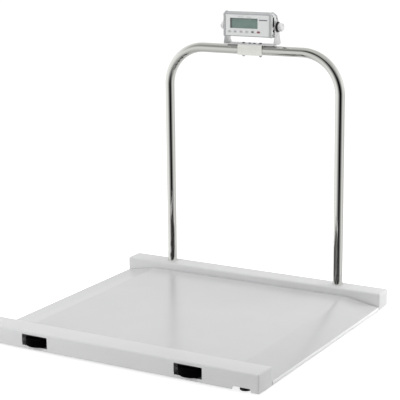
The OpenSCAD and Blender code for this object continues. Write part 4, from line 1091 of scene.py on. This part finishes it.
cap_screw_r, cap_screw_head_r, cap_screw_head_h, cap_screw_l = 1.5 * mm, 2 * mm, 1 * mm, 10 * mm
cap_screws = merged("black_cap_screws", [
    pan_screw(cap_screw_r, cap_screw_head_r, cap_screw_head_h, -cap_screw_l,
              (side * (cap_high.x - cap_sunk), *p), 0, side, black_nylon)
    for side in (-1, 1) for p in case_origin + screw_places])
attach(cap_screws, "indicator")
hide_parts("cap_screws")
finish_of(plated("turned_brass", "C9A65A", "A8843C", 0.3), "pivot_inserts")


# Face film
# A 0.5 mm polycarbonate film is stuck on the front. It is printed pale grey on its back, with plain
# bars where a maker prints names, and is cut out round the window and the keys.
film_low, film_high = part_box("face_film")
film_corner = 2.5 * mm
film_ease = 0.12 * mm


def bar_mask(tree, across, up, bars):
    """1 inside any of the bars, each (middle in X, middle in Z, half width, half height), else 0."""
    total = 0
    for x, z, half_w, half_h in bars:
        inside = calc(tree, "MULTIPLY", calc(tree, "COMPARE", across, x, half_w),
                      calc(tree, "COMPARE", up, z, half_h))
        total = calc(tree, "MAXIMUM", total, inside)
    return total


def printed_film(name, paint, drift, prints):
    """Polycarbonate film printed on its back: a satin clear front with a velvet texture about half a
    millimetre across, over flat inks. Each print is a colour and its bars."""
    made, tree, shader, place = start_material(name, Roughness=0.35, IOR=1.58)
    split = add_node(tree, "ShaderNodeSeparateXYZ", {0: place}).outputs
    tone = mixed(tree, noise(tree, place, 30, 2), linear(paint), linear(drift))
    for ink, bars in prints:
        tone = mixed(tree, bar_mask(tree, split["X"], split["Z"], bars), tone, linear(ink))
    tree.links.new(tone, shader.inputs["Base Color"])
    raise_relief(tree, shader, noise(tree, place, 2200, 1), 0.3, 0.01 * mm)
    return made


print_z = lens_high.z + 4 * mm
film_ink = printed_film("printed_polycarbonate", "F0F1F1", "EBEDED", [
    ("B2BDB8", [(-23 * mm, print_z, 10 * mm, 0.8 * mm), (6 * mm, print_z, 9 * mm, 0.8 * mm)]),
    ("74787A", [(58 * mm, lens_high.z - 4.6 * mm, 15 * mm, 1.8 * mm)])])
film_outline = rounded_outline(np.array([
    (film_low.x, film_low.z), (film_high.x, film_low.z), (film_high.x, film_high.z),
    (film_low.x, film_high.z)]), film_corner)
film = skin("printed_face_film", [np.insert(film_outline, 1, y, 1) for y in (face_y, face_y - film_sheet)],
            film_ink)
film = punch(film, *face_cuts())
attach(ease(film, film_ease), "indicator")
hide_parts("face_film")


# Display
# A clear acrylic window lies flush in the front wall, over a liquid crystal module. A dark band along
# the left and top edges of its glass is painted shade from the window's recess. The glass is grey-green
# and shows its seven-bar figures faintly, because the display is off.
lcd_left_shade = 5 * mm
lcd_top_shade = 3 * mm
figure_count = 6
figure_w = 14 * mm
figure_h = 19 * mm
bar_half = 0.045


def clear_acrylic(name):
    """Clear acrylic sheet, wiped by cleaning: its gloss drifts over a centimetre or so."""
    made, tree, shader, place = start_material(name, Base_Color=linear("B9C4BF"), IOR=1.49,
                                               Roughness=0.04, Alpha=0.16)
    roughen(tree, shader, noise(tree, place, 90, 3), 0.03, 0.12)
    return made


def liquid_crystal(name, glass, figure, recess_shade_paint):
    """A twisted nematic display that is off: a flat grey-green, with the bars of its figures a shade
    darker. Each figure is seven bars in its own cell, which the fraction of X over the pitch gives. A dark
    band along its left and top edges is painted shade from the window's recess."""
    made, tree, shader, place = start_material(name, Roughness=0.25, IOR=1.5)
    split = add_node(tree, "ShaderNodeSeparateXYZ", {0: place}).outputs
    middle_x = (lens_low.x + lens_high.x + lcd_left_shade) / 2
    middle_z = (lens_low.z + lens_high.z - lcd_top_shade) / 2
    half_w = (lens_high.x - lens_low.x - lcd_left_shade) / 2
    half_h = (lens_high.z - lens_low.z - lcd_top_shade) / 2
    cell = calc(tree, "MULTIPLY_ADD", split["X"], 1 / figure_w, 0.5 - middle_x / figure_w)
    u = calc(tree, "FRACT", cell)
    v = calc(tree, "MULTIPLY_ADD", split["Z"], 1 / figure_h, 0.5 - middle_z / figure_h)
    long_x, long_z = 0.2, 0.19
    bars = [(0.5, at, long_x, bar_half) for at in (0.06, 0.5, 0.94)]
    bars += [(at, up, bar_half, long_z) for at in (0.24, 0.76) for up in (0.28, 0.72)]
    figures = bar_mask(tree, u, v, bars)
    area = bar_mask(tree, split["X"], split["Z"],
                    [(middle_x, middle_z, figure_count * figure_w / 2, half_h)])
    tone = mixed(tree, calc(tree, "MULTIPLY", figures, area), linear(glass), linear(figure))
    inside = bar_mask(tree, split["X"], split["Z"], [(middle_x, middle_z, half_w, half_h)])
    tree.links.new(mixed(tree, inside, linear(recess_shade_paint), tone), shader.inputs["Base Color"])
    return made


finish_of(clear_acrylic("clear_acrylic"), "display_lens")
# The last colour, 2B2E2D, is painted shade along the glass's left and top edges, from the window's recess.
finish_of(liquid_crystal("liquid_crystal_glass", "71948A", "698C82", "2B2E2D"), "display_module")


# Keys
# Six moulded ABS key caps stand 0.5 mm out of the film on stems that press switches on the board. Each
# has a slightly domed top with a rounded edge and one plain printed mark.
key_marks = (("key_grey", "D3D5D5", "9A9D9F", "D3D5D5", (3.9, 1.0)),
             ("key_grey", "D3D5D5", "8F9294", "D3D5D5", (4.2, 1.1)),
             ("key_grey", "D6D3D4", "A09698", "D6D3D4", (3.4, 1.5)),
             ("key_grey", "D3D5D5", "999C9D", "D3D5D5", (2.2, 1.4)),
             ("key_dark", "CDCFCF", "5E6164", "B4B7B8", (4.4, 2.4)),
             ("key_red", "D9CDCE", "8A5A5E", "D9BFC2", (5.6, 3.2)))
ink_blur = 0.12
ring_reach = 1.35


def marked_key(name, paint, ink, ring, half, centre):
    """Moulded ABS with a pad printed mark: an ellipse in one ink with a softer ring round it. The
    distance is the length of the place over the ellipse's two half widths."""
    made, tree, shader, place = start_material(name, Roughness=0.38, IOR=1.5)
    moved = add_node(tree, "ShaderNodeVectorMath", {0: place, 1: (centre[0], 0, centre[1])},
                     operation="SUBTRACT")
    sized = add_node(tree, "ShaderNodeVectorMath", {0: moved.outputs[0], 1: (1 / half[0], 0, 1 / half[1])},
                     operation="MULTIPLY")
    far = add_node(tree, "ShaderNodeVectorMath", {0: sized.outputs[0]}, operation="LENGTH").outputs["Value"]
    tone = linear(paint)
    for colour, edge in ((ring, ring_reach), (ink, 1)):
        tone = mixed(tree, remap(tree, far, edge, edge - ink_blur), tone, linear(colour))
    tree.links.new(tone, shader.inputs["Base Color"])
    raise_relief(tree, shader, noise(tree, place, 1800, 1), 0.3, 0.01 * mm)
    return made


def key_rings(low, high, centre):
    """Rings of a key from the domed top to the flange's back, along Y: the capsule's outline is moved
    in by each level's inset. The top rises by a tenth of a millimetre towards its middle."""
    top = low.y
    cap_back = face_y + case_wall + 0.3 * mm
    levels = [(top, 2.6 * mm), (top + 0.03 * mm, 1.6 * mm), (top + 0.1 * mm, 0.7 * mm),
              (top + 0.25 * mm, 0.2 * mm), (top + 0.6 * mm, 0), (cap_back, 0), (cap_back, -1.5 * mm),
              (cap_back + 1 * mm, -1.5 * mm), (cap_back + 1 * mm, 2.5 * mm), (high.y, 2.5 * mm)]
    rings = []
    for y, inset in levels:
        r = key_h / 2 - inset
        half = (key_w - key_h) / 2
        if y > cap_back and inset > 0:
            half *= 2 * r / key_h
        rings.append(np.insert(capsule(half, r, 8) + centre, 1, y, 1))
    return rings


for i, (slot, paint, ink, ring, half) in enumerate(key_marks):
    node = "key_%d" % (i + 1)
    key_low, key_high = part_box(node)
    centre = middle_of(node)[::2]
    key = skin("moulded_" + node, key_rings(key_low, key_high, centre),
               marked_key("printed_abs_" + node, paint, ink, ring, np.array(half) * mm, centre))
    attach(key, node)
    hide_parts(node)


# Sockets
# A nine pin serial socket, with a black D shaped shell round its insulator and pins, and a round power
# jack with its centre pin. Both are soldered behind the right cap and stand a little out of it.
pin_pitch = 2.76 * mm
pin_row = 1.42 * mm
pin_r = 0.5 * mm
shell_sheet = 0.8 * mm


def shell_ring(x, inset):
    """The shell's outline at one place in X: a long D, whose two short ends lean by 1.2 mm."""
    w, h, lean = port_w / 2, port_h / 2, 1.2 * mm
    corners = np.array([(-w, lean - h), (w, -h), (w, h), (-w, h - lean)])
    outline = rounded_outline(corners, 1.6 * mm - min(inset, 0.9 * mm), inset, 4)
    return np.insert(outline + np.array(port_middle), 0, x, 1)


port_front = port_high.x
shell_steps = ((cap_low.x + 8 * mm, 0), (port_front - 0.3 * mm, 0), (port_front, 0.2 * mm),
               (port_front, shell_sheet), (port_front - 3.4 * mm, shell_sheet),
               (port_front - 3.4 * mm, 2 * mm), (port_front - 1.2 * mm, 2.2 * mm))
shell = skin("shell", [shell_ring(x, inset) for x, inset in shell_steps], black_nylon)
flange = box_cutter((port_low.x, port_low.y, port_low.z), (case_high.x, port_high.y, port_high.z))
pins = []
for row, count in ((-1, 5), (1, 4)):
    for k in range(count):
        pin = (port_middle[0] + row * pin_row, port_middle[1] + (k - (count - 1) / 2) * pin_pitch)
        pins.append(rod("pin", (port_front - 3 * mm, *pin), (port_front - 0.6 * mm, *pin), pin_r,
                        black_nylon, 10))
flange.data.materials[0] = black_nylon
port = merged("serial_socket", [shell, flange, *pins])
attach(port, "indicator")
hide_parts("serial_port")

jack_l = jack_high.x - jack_low.x
jack_bore = jack_r - 1.3 * mm
jack_profile = [(0, 0), (jack_r, 0), (jack_r, jack_l - 0.4 * mm), (jack_r - 0.4 * mm, jack_l),
                (jack_r - 1.1 * mm, jack_l), (jack_bore, jack_l - 0.3 * mm), (jack_bore, jack_l - 4 * mm),
                (1 * mm, jack_l - 4 * mm), (1 * mm, jack_l - 1 * mm), (0.6 * mm, jack_l - 0.5 * mm),
                (0, jack_l - 0.5 * mm)]
jack = turned("power_socket", jack_profile, (jack_low.x, *jack_middle), 0, black_nylon, 40)
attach(jack, "indicator")
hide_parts("power_jack")


# Cable gland
# A black nylon gland on the back of the case: a round body, a hexagon against the wall and a nut with
# grip ribs, whose dome is a quarter of an ellipse. No cord shows, so nothing comes out of it.
gland_ribs = 16
rib_depth = 0.5 * mm
nut_bottom, nut_top, nut_round = 4.8 * mm, 15 * mm, 3 * mm
nut_r = 8 * mm
bore_r = 2.6 * mm

dome = np.radians(np.linspace(0, 90, 7))
nut_levels = [(nut_bottom, nut_r - 0.5 * mm, 0.4), (nut_bottom + 0.5 * mm, nut_r, 1),
              (nut_top - 4.4 * mm, nut_r, 1)]
nut_levels += [(nut_top - 4 * mm * (1 - math.sin(t)), nut_r - 0.3 * mm - nut_round * (1 - math.cos(t)), 0)
               for t in dome]
nut_levels += [(nut_top, bore_r + 0.4 * mm, 0), (nut_top - 0.4 * mm, bore_r, 0), (nut_bottom, bore_r, 0)]
hex_levels = ((0.05 * mm, 0.4 * mm), (0.5 * mm, 0), (4.5 * mm, 0), (5 * mm, 0.4 * mm))
hex_outer = [np.insert(hexagon(1.8 * nut_r, inset), 2, at, 1) for at, inset in hex_levels]
hex_inner = [np.insert(hexagon(2 * bore_r * 0.9), 2, at, 1) for at in (5 * mm, 0.05 * mm)]
gland_body = turned("body", [(bore_r, -3 * mm), (gland_r, -3 * mm), (gland_r, 0.4 * mm), (bore_r, 0.4 * mm)],
                    (0, 0, 0), 2, black_nylon, 40)
gland = merged("nylon_cable_gland", [gland_body,
                                     skin("hexagon", hex_outer + hex_inner, black_nylon, joined=True),
                                     skin("nut", scalloped(nut_levels, gland_ribs, rib_depth, 8),
                                          black_nylon, joined=True)])
set_in(gland, gland_place)
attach(gland, "indicator")
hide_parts("cable_gland")


# Board and battery
# Inside the case a green glass fibre board carries the key switches, and three cells in a blue shrink
# sleeve lie behind it. The junction box in the rear rail is moulded black nylon.
def solder_mask(name, paint, copper):
    """A solder mask over copper tracks: they run along X in rows 2.5 mm apart, are joined up Z every
    6.5 mm, and show a shade lighter through the green lacquer."""
    made, tree, shader, place = start_material(name, Roughness=0.28, IOR=1.55)
    laid = add_node(tree, "ShaderNodeMapping", {"Vector": place, "Rotation": (math.pi / 2, 0, 0)})
    grid = add_node(tree, "ShaderNodeTexBrick", {
        "Vector": laid.outputs[0], "Color1": linear(paint), "Color2": linear(paint),
        "Mortar": linear(copper), "Scale": 400, "Mortar Size": 0.12, "Brick Width": 2.6, "Row Height": 1.0})
    tree.links.new(grid.outputs["Color"], shader.inputs["Base Color"])
    return made


finish_of(solder_mask("solder_masked_board", "14502B", "2C7A47"), "main_board")
sleeve_blue = moulded("shrunk_pvc_sleeve", "1E3F7C", 0.3, 2 * mm, 0.05 * mm)
pack_low, pack_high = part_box("battery_pack")
cell_r = 7 * mm
cell_pitch = 14.1 * mm
pack_l = pack_high.x - pack_low.x
cell_profile = [(0, 0.6 * mm), (cell_r - 2.2 * mm, 0.6 * mm), (cell_r - 1.8 * mm, 0),
                (cell_r - 0.6 * mm, 0.2 * mm), (cell_r, 1 * mm), (cell_r, pack_l - 2.2 * mm),
                (cell_r - 0.6 * mm, pack_l - 1.4 * mm), (cell_r - 1.8 * mm, pack_l - 1.2 * mm),
                (cell_r - 2.2 * mm, pack_l - 1.6 * mm), (2.6 * mm, pack_l - 1.6 * mm), (2.4 * mm, pack_l),
                (0, pack_l)]
battery = merged("sleeved_battery_cells", [
    turned("cell", cell_profile, (pack_low.x, middle_of("battery_pack")[1],
                                  pack_low.z + cell_r + i * cell_pitch), 0, sleeve_blue, 40)
    for i in range(3)])
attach(battery, "indicator")
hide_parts("battery_pack")
finish_of(black_nylon, "junction_box_body", "junction_box_lid", "junction_box_glands")
